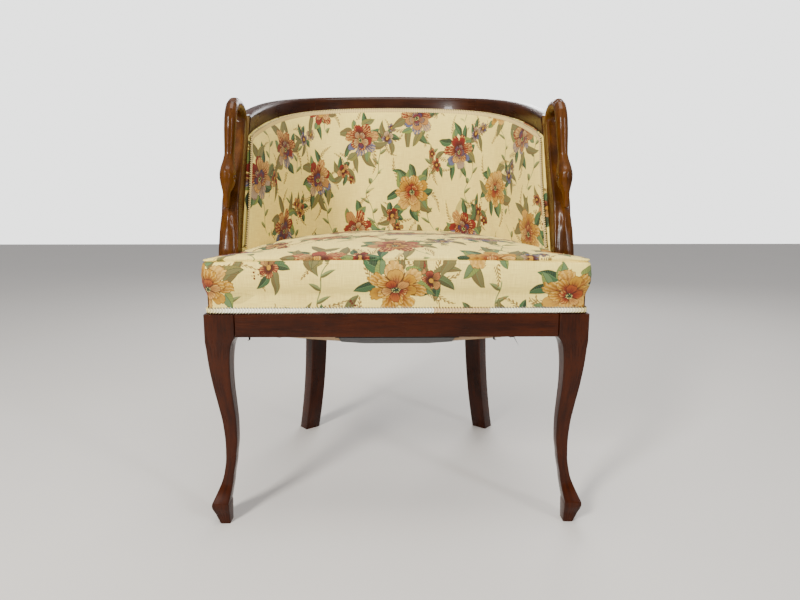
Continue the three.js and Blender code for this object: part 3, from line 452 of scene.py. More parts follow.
def shared_group(name, inputs, outputs):
    """Makes a node group from the function below it, which gets the group's inputs as wires."""

    def build(recipe):
        group = bpy.data.node_groups.new(name, "ShaderNodeTree")
        for direction, sockets in (("INPUT", inputs), ("OUTPUT", outputs)):
            for label, kind in sockets.items():
                socket_type = f"NodeSocket{kind}"
                group.interface.new_socket(name=label, in_out=direction, socket_type=socket_type)
        nodes = Nodes(group)
        entry = group.nodes.new("NodeGroupInput")
        leave = group.nodes.new("NodeGroupOutput")
        results = recipe(nodes, *[Wire(nodes, socket) for socket in entry.outputs[: len(inputs)]])
        for result, socket in zip(results, leave.inputs):
            nodes.join(result, socket)
        return group

    return build


def new_material(name, **constants):
    """A material's nodes and its shader, with constants set on the shader's own sockets."""
    material = bpy.data.materials.new(name)
    material.use_nodes = True
    shader = material.node_tree.nodes["Principled BSDF"]
    for label, value in constants.items():
        shader.inputs[label.replace("_", " ")].default_value = value
    return material, Nodes(material.node_tree), shader


def add_bump(nodes, shader, height, strength, distance):
    bump = nodes.tree.nodes.new("ShaderNodeBump")
    bump.inputs["Strength"].default_value = strength
    bump.inputs["Distance"].default_value = distance
    nodes.join(height, bump.inputs["Height"])
    nodes.tree.links.new(bump.outputs[0], shader.inputs["Normal"])


def cloth_place(nodes):
    node = nodes.tree.nodes.new("ShaderNodeUVMap")
    node.uv_map = "cloth"
    return Wire(nodes, node.outputs[0])


def object_place(nodes):
    node = nodes.tree.nodes.new("ShaderNodeTexCoord")
    return Wire(nodes, node.outputs["Object"])


# Wood, with long grain, short pores and cloudy old polish, and the steel of its screws


@shared_group(
    "wood_grain",
    {"Place": "Vector", "Dark": "Color", "Middle": "Color", "Light": "Color"},
    {"Color": "Color", "Roughness": "Float", "Height": "Float"},
)
def wood_grain(nodes, place, dark, middle, light):
    figure = nodes.noise(nodes.scaled(place, (60, 7, 60)), 1.0, 4.0, 0.6)
    fibre = nodes.noise(nodes.scaled(place, (900, 26, 900)), 1.0, 3.0, 0.6)
    pores = nodes.noise(nodes.scaled(place, (1600, 90, 1600)), 1.0, 1.0).under(0.36, 0.1)
    clouds = nodes.noise(place, 16.0, 2.0)
    tone = figure * 0.75 + fibre * 0.35 + clouds * 0.3 - 0.2
    colour = nodes.blend(tone.over(0.38, 0.3), dark, middle)
    colour = nodes.blend(tone.over(0.66, 0.4) * 0.8, colour, light)
    colour = nodes.blend(pores * 0.5, colour, dark)
    roughness = clouds * 0.22 + fibre * 0.08 + 0.14
    return colour, roughness, fibre * 0.5 - pores * 0.5


def upright_place(nodes):
    """Places whose grain runs upward: height stands where a UV map has its length."""
    x, y, z = nodes.parts(object_place(nodes))
    return nodes.add("CombineXYZ", x, z, y)


def wood_material(name, tones, place_at, dullness=0.0, strength=0.25, distance=0.0002, **constants):
    material, nodes, shader = new_material(name, **constants)
    colour, roughness, height = nodes.uses(wood_grain, place_at(nodes), *tones)
    nodes.join(colour, shader.inputs["Base Color"])
    nodes.join(roughness + dullness, shader.inputs["Roughness"])
    add_bump(nodes, shader, height, strength, distance)
    return material


polish = {"Coat_Weight": 0.12, "Coat_Roughness": 0.08, "Specular_IOR_Level": 0.12}
frame_tones = (paint(20, 4, 0), paint(46, 14, 0), paint(70, 27, 0))
crest_tones = (paint(20, 6, 0), paint(44, 17, 2), paint(68, 33, 6))
swan_tones = (paint(30, 12, 1), paint(66, 34, 3), paint(108, 62, 8))
beech_tones = (paint(150, 108, 66), paint(186, 146, 100), paint(206, 170, 124))
frame_wood = wood_material("frame_wood", frame_tones, cloth_place, **polish)
crest_wood = wood_material("crest_wood", crest_tones, cloth_place, **polish)
swan_wood = wood_material("swan_wood", swan_tones, upright_place, **polish)
beech = wood_material(
    "beech", beech_tones, object_place, dullness=0.4, strength=0.4, distance=0.0003, IOR=1.45,
)


def screw_steel_material():
    material, nodes, shader = new_material("screw_steel", Metallic=1.0)
    tarnish = nodes.noise(object_place(nodes), 300.0, 3.0)
    colour = nodes.blend(tarnish, paint(150, 146, 138), paint(96, 84, 70))
    nodes.join(colour, shader.inputs["Base Color"])
    nodes.join(tarnish * 0.3 + 0.25, shader.inputs["Roughness"])
    return material


screw_steel = screw_steel_material()


# Floral tapestry: posies of our own on a half drop. Places are in millimetres round a posy.


def floats(*names):
    return dict.fromkeys(names, "Float")


def at_place(*names):
    return {"Place": "Vector", **floats(*names)}


def sector(nodes, angle, count, phase, seed):
    """Splits a turn into equal sectors: how far across its own, from -0.5 to 0.5, and chances."""
    turned = angle * (count / full_turn) + phase
    index = turned.math("FLOOR")
    across = turned - index - 0.5
    own = index.math("FLOORED_MODULO", count) + seed * 37.0
    chances = nodes.add("TexWhiteNoise", None, own, noise_dimensions="1D", output=1)
    return across, nodes.parts(chances)


def polar(nodes, place):
    """How far a place is from a posy's middle, and its angle round it."""
    x, y, _ = nodes.parts(place)
    return nodes.length(place), y.math("ARCTAN2", x)


@shared_group(
    "petal_ring",
    at_place("Radius", "Petals", "Phase", "Seed"), floats("Mask", "Depth", "Streak", "Line", "Chance"),
)
def petal_ring(nodes, place, radius, petals, phase, seed):
    distance, angle = polar(nodes, place)
    across, (chance, other, _) = sector(nodes, angle, petals, phase, seed)
    aside = across.math("ABSOLUTE")
    frill = nodes.noise(place, 0.2, 2.0) - 0.5
    reach = radius * (chance * 0.24 + 0.86 - (aside * 2) ** 2.6 * 0.42 + frill * 0.3)
    depth = distance / reach
    mask = (reach - distance).over(0.0, 0.5)
    between = (aside * -1.0 + 0.5) * distance * full_turn / petals
    line = between.under(1.3, 1.0).either((reach - distance).under(1.2, 0.9) * 0.9)
    fold = (across * 30.0 + other * 9.0 + frill * 9.0).math("SINE")
    vein = fold.over(0.4, 0.6) * depth.under(0.66, 0.5)
    streak = (fold * -1.0).over(0.35, 0.5) * depth.over(0.72, 0.35) * other.over(0.35, 0.1)
    return mask, depth, streak, line.either(vein * 0.8), chance


@shared_group(
    "leaf_ring",
    at_place("Start", "Length", "Width", "Leaves", "Bend", "Seed"),
    floats("Mask", "Vein", "Side", "Stem", "Chance", "Rim"),
)
def leaf_ring(nodes, place, start, length, width, leaves, bend, seed):
    distance, angle = polar(nodes, place)
    across, (chance, other, third) = sector(nodes, angle + distance * bend, leaves, seed, seed)
    aside = (across + (other - 0.5) * 0.45) * distance * full_turn / leaves
    long = length * (chance * 0.55 + 0.6)
    along = (distance - start) / long
    inside = along.clamped()
    half = width * (inside ** 0.6) * (inside * -1.0 + 1.0) * 2.1
    off = aside.math("ABSOLUTE")
    grows = third.over(0.18, 0.01)
    mask = (half - off).over(0.25, 0.5) * grows
    ribs = ((along * long - off * 0.8) * 2.1).math("SINE").over(0.75, 0.3)
    vein = off.under(0.45, 0.5).either(ribs * 0.45)
    stem = off.under(0.45, 0.5) * distance.under(start + 3.0, 1.0) * grows
    return mask, vein, aside.over(0.0, 0.6), stem, chance, (half - off).under(0.9, 0.8)


@shared_group("fern_ring", at_place("Start", "Length", "Sprays", "Bend", "Seed"), floats("Mask"))
def fern_ring(nodes, place, start, length, sprays, bend, seed):
    distance, angle = polar(nodes, place)
    across, (chance, other, third) = sector(nodes, angle + distance * bend, sprays, seed * 0.37, seed)
    aside = (across + (other - 0.5) * 0.4) * distance * full_turn / sprays
    off = aside.math("ABSOLUTE")
    run = distance - start
    left = (run / (length * (chance * 0.4 + 0.7)) * -1.0 + 1.0).clamped()
    half = left ** 0.5 * 7.0
    wave = ((run - off * 0.9 + aside.over(0.0, 0.1) * 2.6) * 1.15).math("SINE")
    leaflet = wave.over(0.1, 0.5) * (half - off).over(0.3, 0.8) * off.over(0.5, 0.3)
    stem = off.under(0.6, 0.5)
    mask = leaflet.either(stem) * run.over(0.0, 0.5) * left.over(0.01, 0.01) * third.over(0.3, 0.01)
    return (mask,)


brick, dark_red = paint(116, 24, 18), paint(56, 14, 12)
gold, orange = paint(168, 122, 26), paint(140, 66, 20)
grey_blue, navy = paint(80, 88, 116), paint(30, 36, 72)
pale_petal = paint(206, 166, 84)
sage, dark_green = paint(88, 114, 72), paint(18, 48, 32)
mid_green, tan = paint(48, 84, 52), paint(122, 96, 50)
light_green = paint(112, 126, 60)
blossom_pink, berry = paint(134, 54, 36), paint(80, 24, 20)
cream, cream_shade = paint(250, 231, 128), paint(224, 192, 98)

# Repeat of the posies, in metres, and how far their middles stray, as a share of it
posy_width, posy_height = 0.136, 0.165
stray_share = 0.22


def posy_cell(nodes, place, shift, seed):
    """A half-drop repeat: the place round the nearest posy in millimetres, and its own chance."""
    x, y, _ = nodes.parts(place)
    column = (x / posy_width + shift).math("FLOOR")
    down = y / posy_height + shift * 0.7 + column * 0.5
    row = down.math("FLOOR")
    cell = nodes.add("CombineXYZ", column, row, seed)
    chances = nodes.add("TexWhiteNoise", cell, noise_dimensions="3D", output=1)
    first, second, third = nodes.parts(chances)
    aside = x / posy_width + shift - column - 0.5 - (first - 0.5) * stray_share
    above = down - row - 0.5 - (second - 0.5) * stray_share
    local = nodes.add("CombineXYZ", aside * (posy_width * 1000), above * (posy_height * 1000), 0.0)
    # Each posy is drawn a little out of true, so that no two are alike.
    drift = nodes.vector("SUBTRACT", nodes.noise(place, 22.0, 1.0, output=1), (0.5, 0.5, 0.5))
    return nodes.vector("ADD", local, nodes.scaled(drift, (16.0, 16.0, 0.0))), third


def turned_place(nodes, place, chance):
    return nodes.add("VectorRotate", place, None, None, chance * full_turn, rotation_type="Z_AXIS")


def add_fern(nodes, below, place, *values):
    (mask,) = nodes.uses(fern_ring, place, *values)
    return nodes.blend(mask, below, tan)


def add_leaves(nodes, below, place, tones, *values):
    mask, vein, side, stem, chance, rim = nodes.uses(leaf_ring, place, *values)
    dark, light, line = tones
    green = nodes.blend(side, dark, light)
    green = nodes.blend(chance.over(0.6, 0.1) * 0.6, green, tan)
    green = nodes.blend(vein * 0.8, green, line)
    green = nodes.blend(rim * 0.8, green, dark_green)
    return nodes.blend(mask, nodes.blend(stem, below, tan), green)


def add_petals(nodes, below, place, heart, main, *values):
    mask, depth, streak, line, chance = nodes.uses(petal_ring, place, *values)
    colour = nodes.blend(depth.over(0.6, 0.5), heart, main)
    colour = nodes.blend(chance.over(0.75, 0.1) * 0.4, colour, pale_petal)
    colour = nodes.blend(streak * 0.75, colour, pale_petal)
    colour = nodes.blend(line * 0.9, colour, dark_red)
    return nodes.blend(mask, below, colour)


leaf_tones = (dark_green, mid_green, sage)
pale_leaf_tones = (sage, light_green, dark_green)
# What a peony's chance picks: main colour, heart, colour of the lower petals, and of the cup
peony_palettes = (
    ((0.0, brick), (0.4, gold), (0.75, blossom_pink)),
    ((0.0, dark_red), (0.4, brick), (0.75, dark_red)),
    ((0.0, grey_blue), (0.4, gold), (0.75, brick)),
    ((0.0, navy), (0.4, orange), (0.75, gold)),
)
blossom_palette = ((0.0, blossom_pink), (0.3, grey_blue), (0.55, brick), (0.8, gold))


@shared_group("peony_posy", {"Place": "Vector", "Below": "Color"}, {"Color": "Color"})
def peony_posy(nodes, place, colour):
    """Three rings of petals on two rings of leaves and a ring of ferns."""
    place, chance = posy_cell(nodes, place, 0.27, 3.0)
    turned = turned_place(nodes, place, chance)
    colour = add_fern(nodes, colour, turned, 44.0, 44.0, 5.0, 0.012, chance * 11)
    colour = add_leaves(nodes, colour, turned, leaf_tones, 30.0, 42.0, 13.0, 8.0, -0.008, chance * 7)
    colour = add_leaves(
        nodes, colour, turned, pale_leaf_tones, 30.0, 32.0, 14.0, 6.0, 0.014, chance * 5 + 2,
    )
    flower = nodes.scaled(place, (1.0, 1.2, 1.0))
    lower = nodes.parts(place)[1].under(-6.0, 4.0)
    main, heart, low_main, cup_main = (
        nodes.chosen(chance, *stops, interpolation="CONSTANT") for stops in peony_palettes
    )
    outer = nodes.blend(lower, main, low_main)
    colour = add_petals(nodes, colour, flower, heart, outer, 46.0, 7.0, chance * 3, chance * 5)
    upper = nodes.vector("ADD", flower, (0.0, -3.0, 0.0))
    colour = add_petals(nodes, colour, upper, heart, main, 34.0, 6.0, chance * 9, chance * 4 + 1)
    cup = nodes.vector("ADD", flower, (0.0, 3.0, 0.0))
    colour = add_petals(nodes, colour, cup, brick, cup_main, 21.0, 5.0, chance * 7, chance * 8 + 2)
    middle = nodes.length(cup).under(6.0, 0.8)
    dots = nodes.add("TexVoronoi", cup, None, 0.5).under(0.32, 0.15)
    return (nodes.blend(middle, colour, nodes.blend(dots, dark_green, cream)),)


@shared_group("blossom_posy", {"Place": "Vector", "Below": "Color"}, {"Color": "Color"})
def blossom_posy(nodes, place, colour):
    """Two small blossoms with leaves, ferns and a cluster of berries."""
    place, chance = posy_cell(nodes, place, 0.77, 9.0)
    turned = turned_place(nodes, place, chance)
    colour = add_fern(nodes, colour, turned, 8.0, 40.0, 5.0, -0.02, chance * 13)
    colour = add_leaves(nodes, colour, turned, leaf_tones, 10.0, 32.0, 11.0, 6.0, 0.02, chance * 9)
    main = nodes.chosen(chance, *blossom_palette, interpolation="CONSTANT")
    for index, (x, y, radius) in enumerate(((0.0, 0.0, 17.0), (24.0, 13.0, 12.0))):
        bloom = nodes.vector("ADD", turned, (x, y, 0.0))
        colour = add_petals(
            nodes, colour, bloom, dark_red, main, radius, 5.0, chance * 5, chance * 3 + index,
        )
        eye = nodes.length(bloom).under(radius * 0.2, 0.5)
        colour = nodes.blend(eye, colour, gold)
    cluster = nodes.vector("ADD", turned, (-15.0, 16.0, 0.0))
    off = nodes.add("TexVoronoi", cluster, None, 0.17)
    within = nodes.length(cluster).under(10.0, 0.5)
    fruit = nodes.blend(off.over(0.16, 0.2), orange, berry)
    return (nodes.blend(off.under(0.42, 0.06) * within, colour, fruit),)


@shared_group("leafy_stem", at_place(), floats("Mask", "Side"))
def leafy_stem(nodes, place):
    """Thin stems that wander up between the posies, with small leaves on both sides in turn."""
    x, y, _ = nodes.parts(place)
    sway = (y * 39.0).math("SINE") * 0.017 + (y * 97.0).math("SINE") * 0.005
    moved = (x + sway) / posy_width + 0.02
    off = (moved - moved.math("FLOOR") - 0.5) * (posy_width * 1000)
    run = y / 0.021
    step = run.math("FLOOR")
    hand = step.math("FLOORED_MODULO", 2.0) * 2.0 - 1.0
    across = off * hand
    slant = (run - step - 0.5) * 21.0 - across * 0.55 + 4.0
    inside = (across / 19.0).clamped()
    half = inside ** 0.5 * (inside * -1.0 + 1.0) * 12.0
    leaf = (half - slant.math("ABSOLUTE")).over(0.2, 0.5)
    patchy = nodes.noise(place, 9.0, 1.0).over(0.45, 0.02)
    stem = off.math("ABSOLUTE").under(1.0, 0.6)
    return leaf.either(stem) * patchy, slant.over(0.0, 0.6)


@shared_group("cloth_weave", at_place("Threads per metre"), floats("Height", "Slub"))
def cloth_weave(nodes, place, threads):
    x, y, _ = nodes.parts(place)
    turn = threads * full_turn
    warp = (x * turn).math("SINE")
    weft = (y * turn).math("SINE")
    over = (x * turn * 0.5).math("SINE") * (y * turn * 0.5).math("SINE")
    height = warp * 0.25 + weft * 0.25 + over * 0.35 + 0.5
    long = nodes.noise(nodes.scaled(place, (40, 1500, 1)), 1.0, 2.0)
    cross = nodes.noise(nodes.scaled(place, (1500, 40, 1)), 1.0, 2.0)
    return height, (long + cross) * 0.5


def tapestry_material():
    material, nodes, shader = new_material(
        "floral_tapestry", Roughness=0.86, Sheen_Weight=0.08, Sheen_Roughness=0.5, Specular_IOR_Level=0.2,
    )
    place = cloth_place(nodes)
    height, slub = nodes.uses(cloth_weave, place, 1400.0)
    age = nodes.noise(place, 9.0, 3.0)
    ground = nodes.blend(slub.over(0.5, 0.35) * 0.6 + age * 0.4, cream, cream_shade)
    stem, side = nodes.uses(leafy_stem, place)
    colour = nodes.blend(stem * 0.9, ground, nodes.blend(side, dark_green, sage))
    for posy in (blossom_posy, peony_posy):
        (colour,) = nodes.uses(posy, place, colour)
    shade = nodes.blend(slub.over(0.55, 0.3) * 0.22, colour, paint(120, 96, 60))
    shade = nodes.blend(age.over(0.62, 0.3) * 0.08, shade, paint(150, 110, 60))
    nodes.join(shade, shader.inputs["Base Color"])
    add_bump(nodes, shader, height * 0.4 + slub * 0.5, 0.35, 0.0003)
    return material


def woven_material(name, threads, light, dark, strength):
    """A plain woven cloth, with stained and faded places."""
    material, nodes, shader = new_material(name, Roughness=0.95, Sheen_Weight=0.2, Specular_IOR_Level=0.2)
    place = cloth_place(nodes)
    height, slub = nodes.uses(cloth_weave, place, threads)
    stain = nodes.noise(place, 14.0, 3.0)
    tone = slub.over(0.5, 0.4) * 0.6 + stain.over(0.52, 0.3) * 0.5
    nodes.join(nodes.blend(tone, light, dark), shader.inputs["Base Color"])
    add_bump(nodes, shader, height * 0.6 + slub * 0.6, strength, 0.0006)
    return material


def white_cord(nodes, place):
    """White, yellowed at the braid's ends, and tan where a length of it was once replaced."""
    x, y, _ = nodes.parts(place)
    yellowed = x.math("ABSOLUTE").over(0.272, 0.03)
    replaced = x.over(0.056, 0.001) * x.under(0.142, 0.001) * y.under(-0.23, 0.01)
    colour = nodes.blend(yellowed * 0.75, paint(255, 255, 228), paint(214, 190, 84))
    return nodes.blend(replaced * 0.75, colour, paint(206, 156, 78))


def cream_cord(nodes, place):
    faded = nodes.noise(place, 16.0, 3.0).over(0.6, 0.3)
    return nodes.blend(faded * 0.5, paint(226, 202, 132), paint(196, 168, 96))


def plaited_material(name, cord, valley_shade, pitch, slant):
    """Braid with painted shade in the valleys between its plaits and painted shadow in the gaps between the
    loops of its edges.
    """
    material, nodes, shader = new_material(name, Roughness=0.9, Sheen_Weight=0.1, Specular_IOR_Level=0.2)
    across, along, _ = nodes.parts(cloth_place(nodes))
    half = gimp_width / 2
    aside = (across - half).math("ABSOLUTE") / half
    plait = (along * (full_turn / pitch) + aside * slant).math("COSINE")
    colour = cord(nodes, object_place(nodes))
    # Painted shade: the valleys between the plaits are darkened towards the valley colour.
    colour = nodes.blend(plait.under(-0.1, 1.0) * 0.55, colour, valley_shade)
    # Painted shadow: dark brown in the gaps between the loops along both edges of the braid.
    gap_shadow = plait.under(0.0, 0.6) * aside.over(0.52, 0.2)
    nodes.join(nodes.blend(gap_shadow, colour, paint(48, 30, 14)), shader.inputs["Base Color"])
    return material


# Length of one loop of the picot braid and of one rib of the flat one, and the plaits' slant
picot_pitch = 0.0045
rib_pitch = 0.004
picot_slant = 5.0

tapestry = tapestry_material()
# The third colour of each braid is the painted shade of its valleys.
white_braid = plaited_material("white_braid", white_cord, paint(146, 124, 78), picot_pitch, picot_slant)
cream_braid = plaited_material("cream_braid", cream_cord, paint(186, 158, 96), rib_pitch, 0.0)
hessian = woven_material("jute_hessian", 420.0, paint(176, 138, 86), paint(120, 88, 50), 0.9)
webbing_jute = woven_material("webbing_jute", 300.0, paint(190, 156, 104), paint(146, 112, 66), 0.9)
black_cloth = woven_material("black_dust_cloth", 800.0, paint(26, 24, 24), paint(12, 11, 12), 0.4)


# Frame


def smooth_table(table, levels):
    """Columns of a table at levels of its first column, on a curve that never overshoots a row."""
    heights, values = table[:, 0], table[:, 1:]
    slopes = np.diff(values, axis=0) / np.diff(heights)[:, None]
    mean_slope = 2 / (1 / (slopes[1:] + 1e-12) + 1 / (slopes[:-1] + 1e-12))
    inner = np.where(slopes[1:] * slopes[:-1] > 0, mean_slope, 0)
    rates = np.concatenate([slopes[:1], inner, slopes[-1:]])
    row = np.clip(np.searchsorted(heights, levels, side="right") - 1, 0, len(heights) - 2)
    step = (heights[row + 1] - heights[row])[:, None]
    t = (levels - heights[row])[:, None] / step
    return (
        (2 * t**3 - 3 * t**2 + 1) * values[row] + (t**3 - 2 * t**2 + t) * step * rates[row]
        + (3 * t**2 - 2 * t**3) * values[row + 1] + (t**3 - t**2) * step * rates[row + 1]
    )


def rounded_rectangle(width, depth, radius, corner_steps=5):
    """Points of an outline round the origin."""
    angles = np.linspace(0, math.pi / 2, corner_steps + 1)
    outline = []
    for quarter, (right, up) in enumerate(((1, 1), (-1, 1), (-1, -1), (1, -1))):
        turned = angles + quarter * math.pi / 2
        x = right * (width / 2 - radius) + radius * np.cos(turned)
        y = up * (depth / 2 - radius) + radius * np.sin(turned)
        outline.append(np.stack([x, y], axis=-1))
    return np.concatenate(outline)


# Share of the leg's height, then shares of the block's width: set of the outer edge, width, set
# of the front face, and thickness.
cabriole_shares = np.array([
    [0, 0.2, 0.35, 0.06, 0.46],
    [0.045, 0.07, 0.48, 0.02, 0.54],
    [0.093, -0.04, 0.6, -0.08, 0.64],
    [0.105, -0.03, 0.58, -0.08, 0.64],
    [0.163, 0.17, 0.46, 0.1, 0.5],
    [0.205, 0.3, 0.38, 0.17, 0.45],
    [0.24, 0.37, 0.34, 0.2, 0.44],
    [0.314, 0.45, 0.35, 0.22, 0.44],
    [0.38, 0.46, 0.4, 0.22, 0.45],
    [0.475, 0.42, 0.46, 0.19, 0.48],
    [0.57, 0.31, 0.53, 0.14, 0.53],
    [0.67, 0.18, 0.61, 0.07, 0.6],
    [0.77, 0.08, 0.71, 0.02, 0.68],
    [0.845, 0.03, 0.81, 0, 0.79],
    [0.878, 0, 0.92, 0, 0.9],
    [0.895, 0, 1, 0, 1],
    [1, 0, 1, 0, 1],
])
# The foot's rim is a crisp edge, so the curve starts anew at rim_row. The square block at the
# top of the leg starts at block_row.
rim_row = 3
block_row = 15
leg_rounding = 0.0022
stock_rounding = 0.0025
edge_wear = 0.0006
rail_wear = 0.0008


def add_front_legs():
    curved = np.linspace(0, cabriole_shares[block_row, 0], 76)
    levels = np.unique(np.concatenate([cabriole_shares[:, 0], curved]))
    below = levels <= cabriole_shares[rim_row, 0]
    shares = np.concatenate([
        smooth_table(cabriole_shares[: rim_row + 1], levels[below]),
        smooth_table(cabriole_shares[rim_row:], levels[~below]),
    ])
    rows = []
    for level, (set_share, width_share, front_share, thickness_share) in zip(levels, shares):
        outline = rounded_rectangle(width_share * leg_block, thickness_share * leg_block, leg_rounding)
        x = -half_width + (set_share + width_share / 2) * leg_block
        y = (front_share + thickness_share / 2) * leg_block - depth_centre
        height = np.full(len(outline), level * show_top)
        rows.append(np.column_stack([outline[:, 0] + x, outline[:, 1] + y, height]))
    # Above the show wood the block is set back for the upholstery's edge.
    for height in (show_top + clearance, rail_top):
        outline = rounded_rectangle(leg_block - 2 * rabbet, leg_block - 2 * rabbet, 0.003)
        middle = (rabbet + leg_block) / 2
        outline = outline * (leg_block - rabbet) / (leg_block - 2 * rabbet)
        x, y = outline[:, 0] + middle - half_width, outline[:, 1] + middle - depth_centre
        rows.append(np.column_stack([x, y, np.full(len(outline), height)]))
    make_member("front_leg_left", swept(np.array(rows)), frame_wood, edge_wear)


def rear_leg_point(along, inset, height):
    half = rear_leg_width / 2 / barrel_length
    first, last = (barrel_point(rear_leg_turn + step, 0, height) for step in (-half, half))
    chord = unit(last - first)
    inward = np.array([chord[1], -chord[0], 0])
    return (first + last) / 2 + chord * along + inward * inset


def add_rear_legs():
    rows = []
    for drop in np.linspace(1, 0, 26):
        width = rear_leg_width + (rear_foot_width - rear_leg_width) * drop
        depth = rear_leg_thickness + (rear_foot_thickness - rear_leg_thickness) * drop
        height = rear_knee_height * (1 - drop)
        outline = rounded_rectangle(width, depth, stock_rounding)
        shift = depth / 2 - rear_leg_flare * drop**2
        rows.append([rear_leg_point(along, inset + shift, height) for along, inset in outline])
    outline = rounded_rectangle(rear_leg_width, rear_leg_thickness, stock_rounding)
    rows.append([rear_leg_point(x, y + rear_leg_thickness / 2, show_top) for x, y in outline])
    inner = rear_leg_thickness - rabbet
    for height in (show_top + clearance, rail_top):
        outline = rounded_rectangle(rear_leg_width, inner, stock_rounding)
        rows.append([rear_leg_point(x, y + rabbet + inner / 2, height) for x, y in outline])
    stile = rounded_rectangle(stile_width, stile_inner - stile_outer, 0.0015)
    middle = (stile_inner + stile_outer) / 2
    top = crest_bottom(rear_leg_turn - stile_half_turn) - crest_tongue - clearance
    for height in (rail_top + clearance, lean_height, top):
        rows.append([barrel_point(rear_leg_turn + x / barrel_length, middle + y, height) for x, y in stile])
    make_member("rear_leg_left", swept(np.array(rows)), frame_wood, edge_wear)


def along_barrel(turns, section_at):
    """A closed body that follows the barrel, with its section in inset and height."""
    rows = []
    for turn in turns:
        section = np.array(section_at(turn))
        rows.append(barrel_point(turn, section[:, 0], section[:, 1]))
    return swept(np.array(rows))


rail_section = np.array([
    (0, rail_bottom), (rail_thickness, rail_bottom), (rail_thickness, rail_top),
    (rabbet, rail_top), (rabbet, show_top), (0, show_top),
])


def add_curved_rails():
    insets, heights = rail_section.T
    front = leg_block + clearance - depth_centre
    start = [(inset - half_width, front, height) for inset, height in rail_section]
    turns = np.linspace(0, rear_leg_turn - leg_half_turn, 30)
    rows = [start, *(barrel_point(turn, insets, heights) for turn in turns)]
    make_member("side_rail_left", swept(np.array(rows)), frame_wood, rail_wear)
    leg_back = rear_leg_turn + leg_half_turn
    rear = along_barrel(np.linspace(leg_back, 1 - leg_back, 48), lambda _turn: rail_section)
    make_member("rear_rail", rear, frame_wood, rail_wear)


def add_front_rail():
    end = half_width - leg_block - clearance
    depths = rail_section[:, 0] + rail_setback
    # The rabbet lies in line with the side rails', whatever the setback.
    depths[3:5] = rabbet
    rows = []
    for x in np.linspace(-end, end, 24):
        rows.append(np.column_stack([np.full(len(depths), x), depths - depth_centre, rail_section[:, 1]]))
    make_member("front_rail", swept(np.array(rows)), frame_wood, rail_wear)


def crest_section(turn):
    top, bottom = crest_top(turn), crest_bottom(turn)
    tongue = bottom - crest_tongue
    outline = [(tongue_inner, bottom), (tongue_inner, tongue)]
    outline += [(rabbet, tongue), (rabbet, bottom), (0, bottom)]
    for centre, start in ((crest_rounding, math.pi), (crest_thickness - crest_rounding, math.pi / 2)):
        for angle in np.linspace(start, start - math.pi / 2, 8):
            height = top - crest_rounding + crest_rounding * math.sin(angle)
            outline.append((centre + crest_rounding * math.cos(angle), height))
    return [*outline, (crest_thickness, bottom)]


def add_top_line():
    joint = rear_leg_turn - 2 * stile_half_turn
    crest = along_barrel(np.linspace(joint + turn_gap / 2, 1 - joint - turn_gap / 2, 110), crest_section)
    make_member("crest_rail", crest, crest_wood, rail_wear)
    arm = along_barrel(np.linspace(front_turn, joint - turn_gap / 2, 34), crest_section)
    make_member("arm_rail_left", arm, crest_wood, rail_wear)


def remeshed(bm, voxel, hollows):
    """One even skin round a body, without its facets' edges, with hollows carved as ellipsoids."""
    helpers = []

    def helper_from(body):
        mesh = bpy.data.meshes.new("helper")
        body.to_mesh(mesh)
        body.free()
        helpers.append(new_object("helper", mesh))
        return helpers[-1]

    body = helper_from(bm)
    for centre, reach in hollows:
        cutter = bmesh.new()
        bmesh.ops.create_icosphere(cutter, subdivisions=4, radius=1)
        bmesh.ops.scale(cutter, verts=cutter.verts, vec=reach)
        bmesh.ops.translate(cutter, verts=cutter.verts, vec=centre)
        cut = body.modifiers.new("hollow", "BOOLEAN")
        cut.operation = "DIFFERENCE"
        cut.solver = "EXACT"
        cut.object = helper_from(cutter)
    remesh = body.modifiers.new("remesh", "REMESH")
    remesh.mode = "VOXEL"
    remesh.voxel_size = voxel
    even = body.evaluated_get(bpy.context.evaluated_depsgraph_get()).to_mesh()
    bm = bmesh.new()
    bm.from_mesh(even)
    for helper in helpers:
        bpy.data.objects.remove(helper)
    return bm


def move_along_normals(bm, height_at):
    """Moves each point along its normal by what height_at gives for it."""
    bm.normal_update()
    for vert in bm.verts:
        vert.co += vert.normal * height_at(vert)


def swell(bm, centre, reach, height):
    """Raises a soft swelling."""

    def height_at(vert):
        near = sum(((value - middle) / span) ** 2 for value, middle, span in zip(vert.co, centre, reach))
        return height * math.exp(-near) if near < 5 else 0.0

    move_along_normals(bm, height_at)


def carve_eye(bm, centre, side, radius):
    """A scroll on the side of the head: a round boss in a groove that winds outward."""
    reach = 2.6 * radius
    close = [edge for edge in bm.edges if (edge.verts[0].co - centre).length < reach]
    bmesh.ops.subdivide_edges(bm, edges=close, cuts=1, use_grid_fill=True)

    def height_at(vert):
        offset = vert.co - centre
        if offset.length > reach or vert.normal.x * side < 0.15:
            return 0.0
        distance = math.hypot(offset.y, offset.z)
        turn = (math.atan2(offset.z, offset.y) + math.pi) / full_turn
        groove = math.exp(-(((distance - radius * (0.8 + 0.5 * turn)) / (0.3 * radius)) ** 2))
        boss = math.exp(-((distance / (0.45 * radius)) ** 2))
        return radius * (0.22 * boss - 0.5 * groove)

    move_along_normals(bm, height_at)


# The left swan's head, and from its middle the place, reach and height of its swellings:
# the breast up to just under the bill's tip, the round head, the brow and the bill's ridge
swan_head = Vector((-0.272, 0.089 - depth_centre, 0.553))
head_swellings = [
    ((-0.0015, 0.004, -0.066), (0.0068, 0.014, 0.017), 0.0048),
    ((0, -0.002, 0), (0.013, 0.017, 0.012), 0.0016),
    ((0, -0.013, 0.010), (0.010, 0.006, 0.005), 0.0010),
    ((0.001, -0.012, -0.034), (0.0025, 0.006, 0.010), 0.0009),
]
skin_step = 0.0011
eye_radius = 0.0044


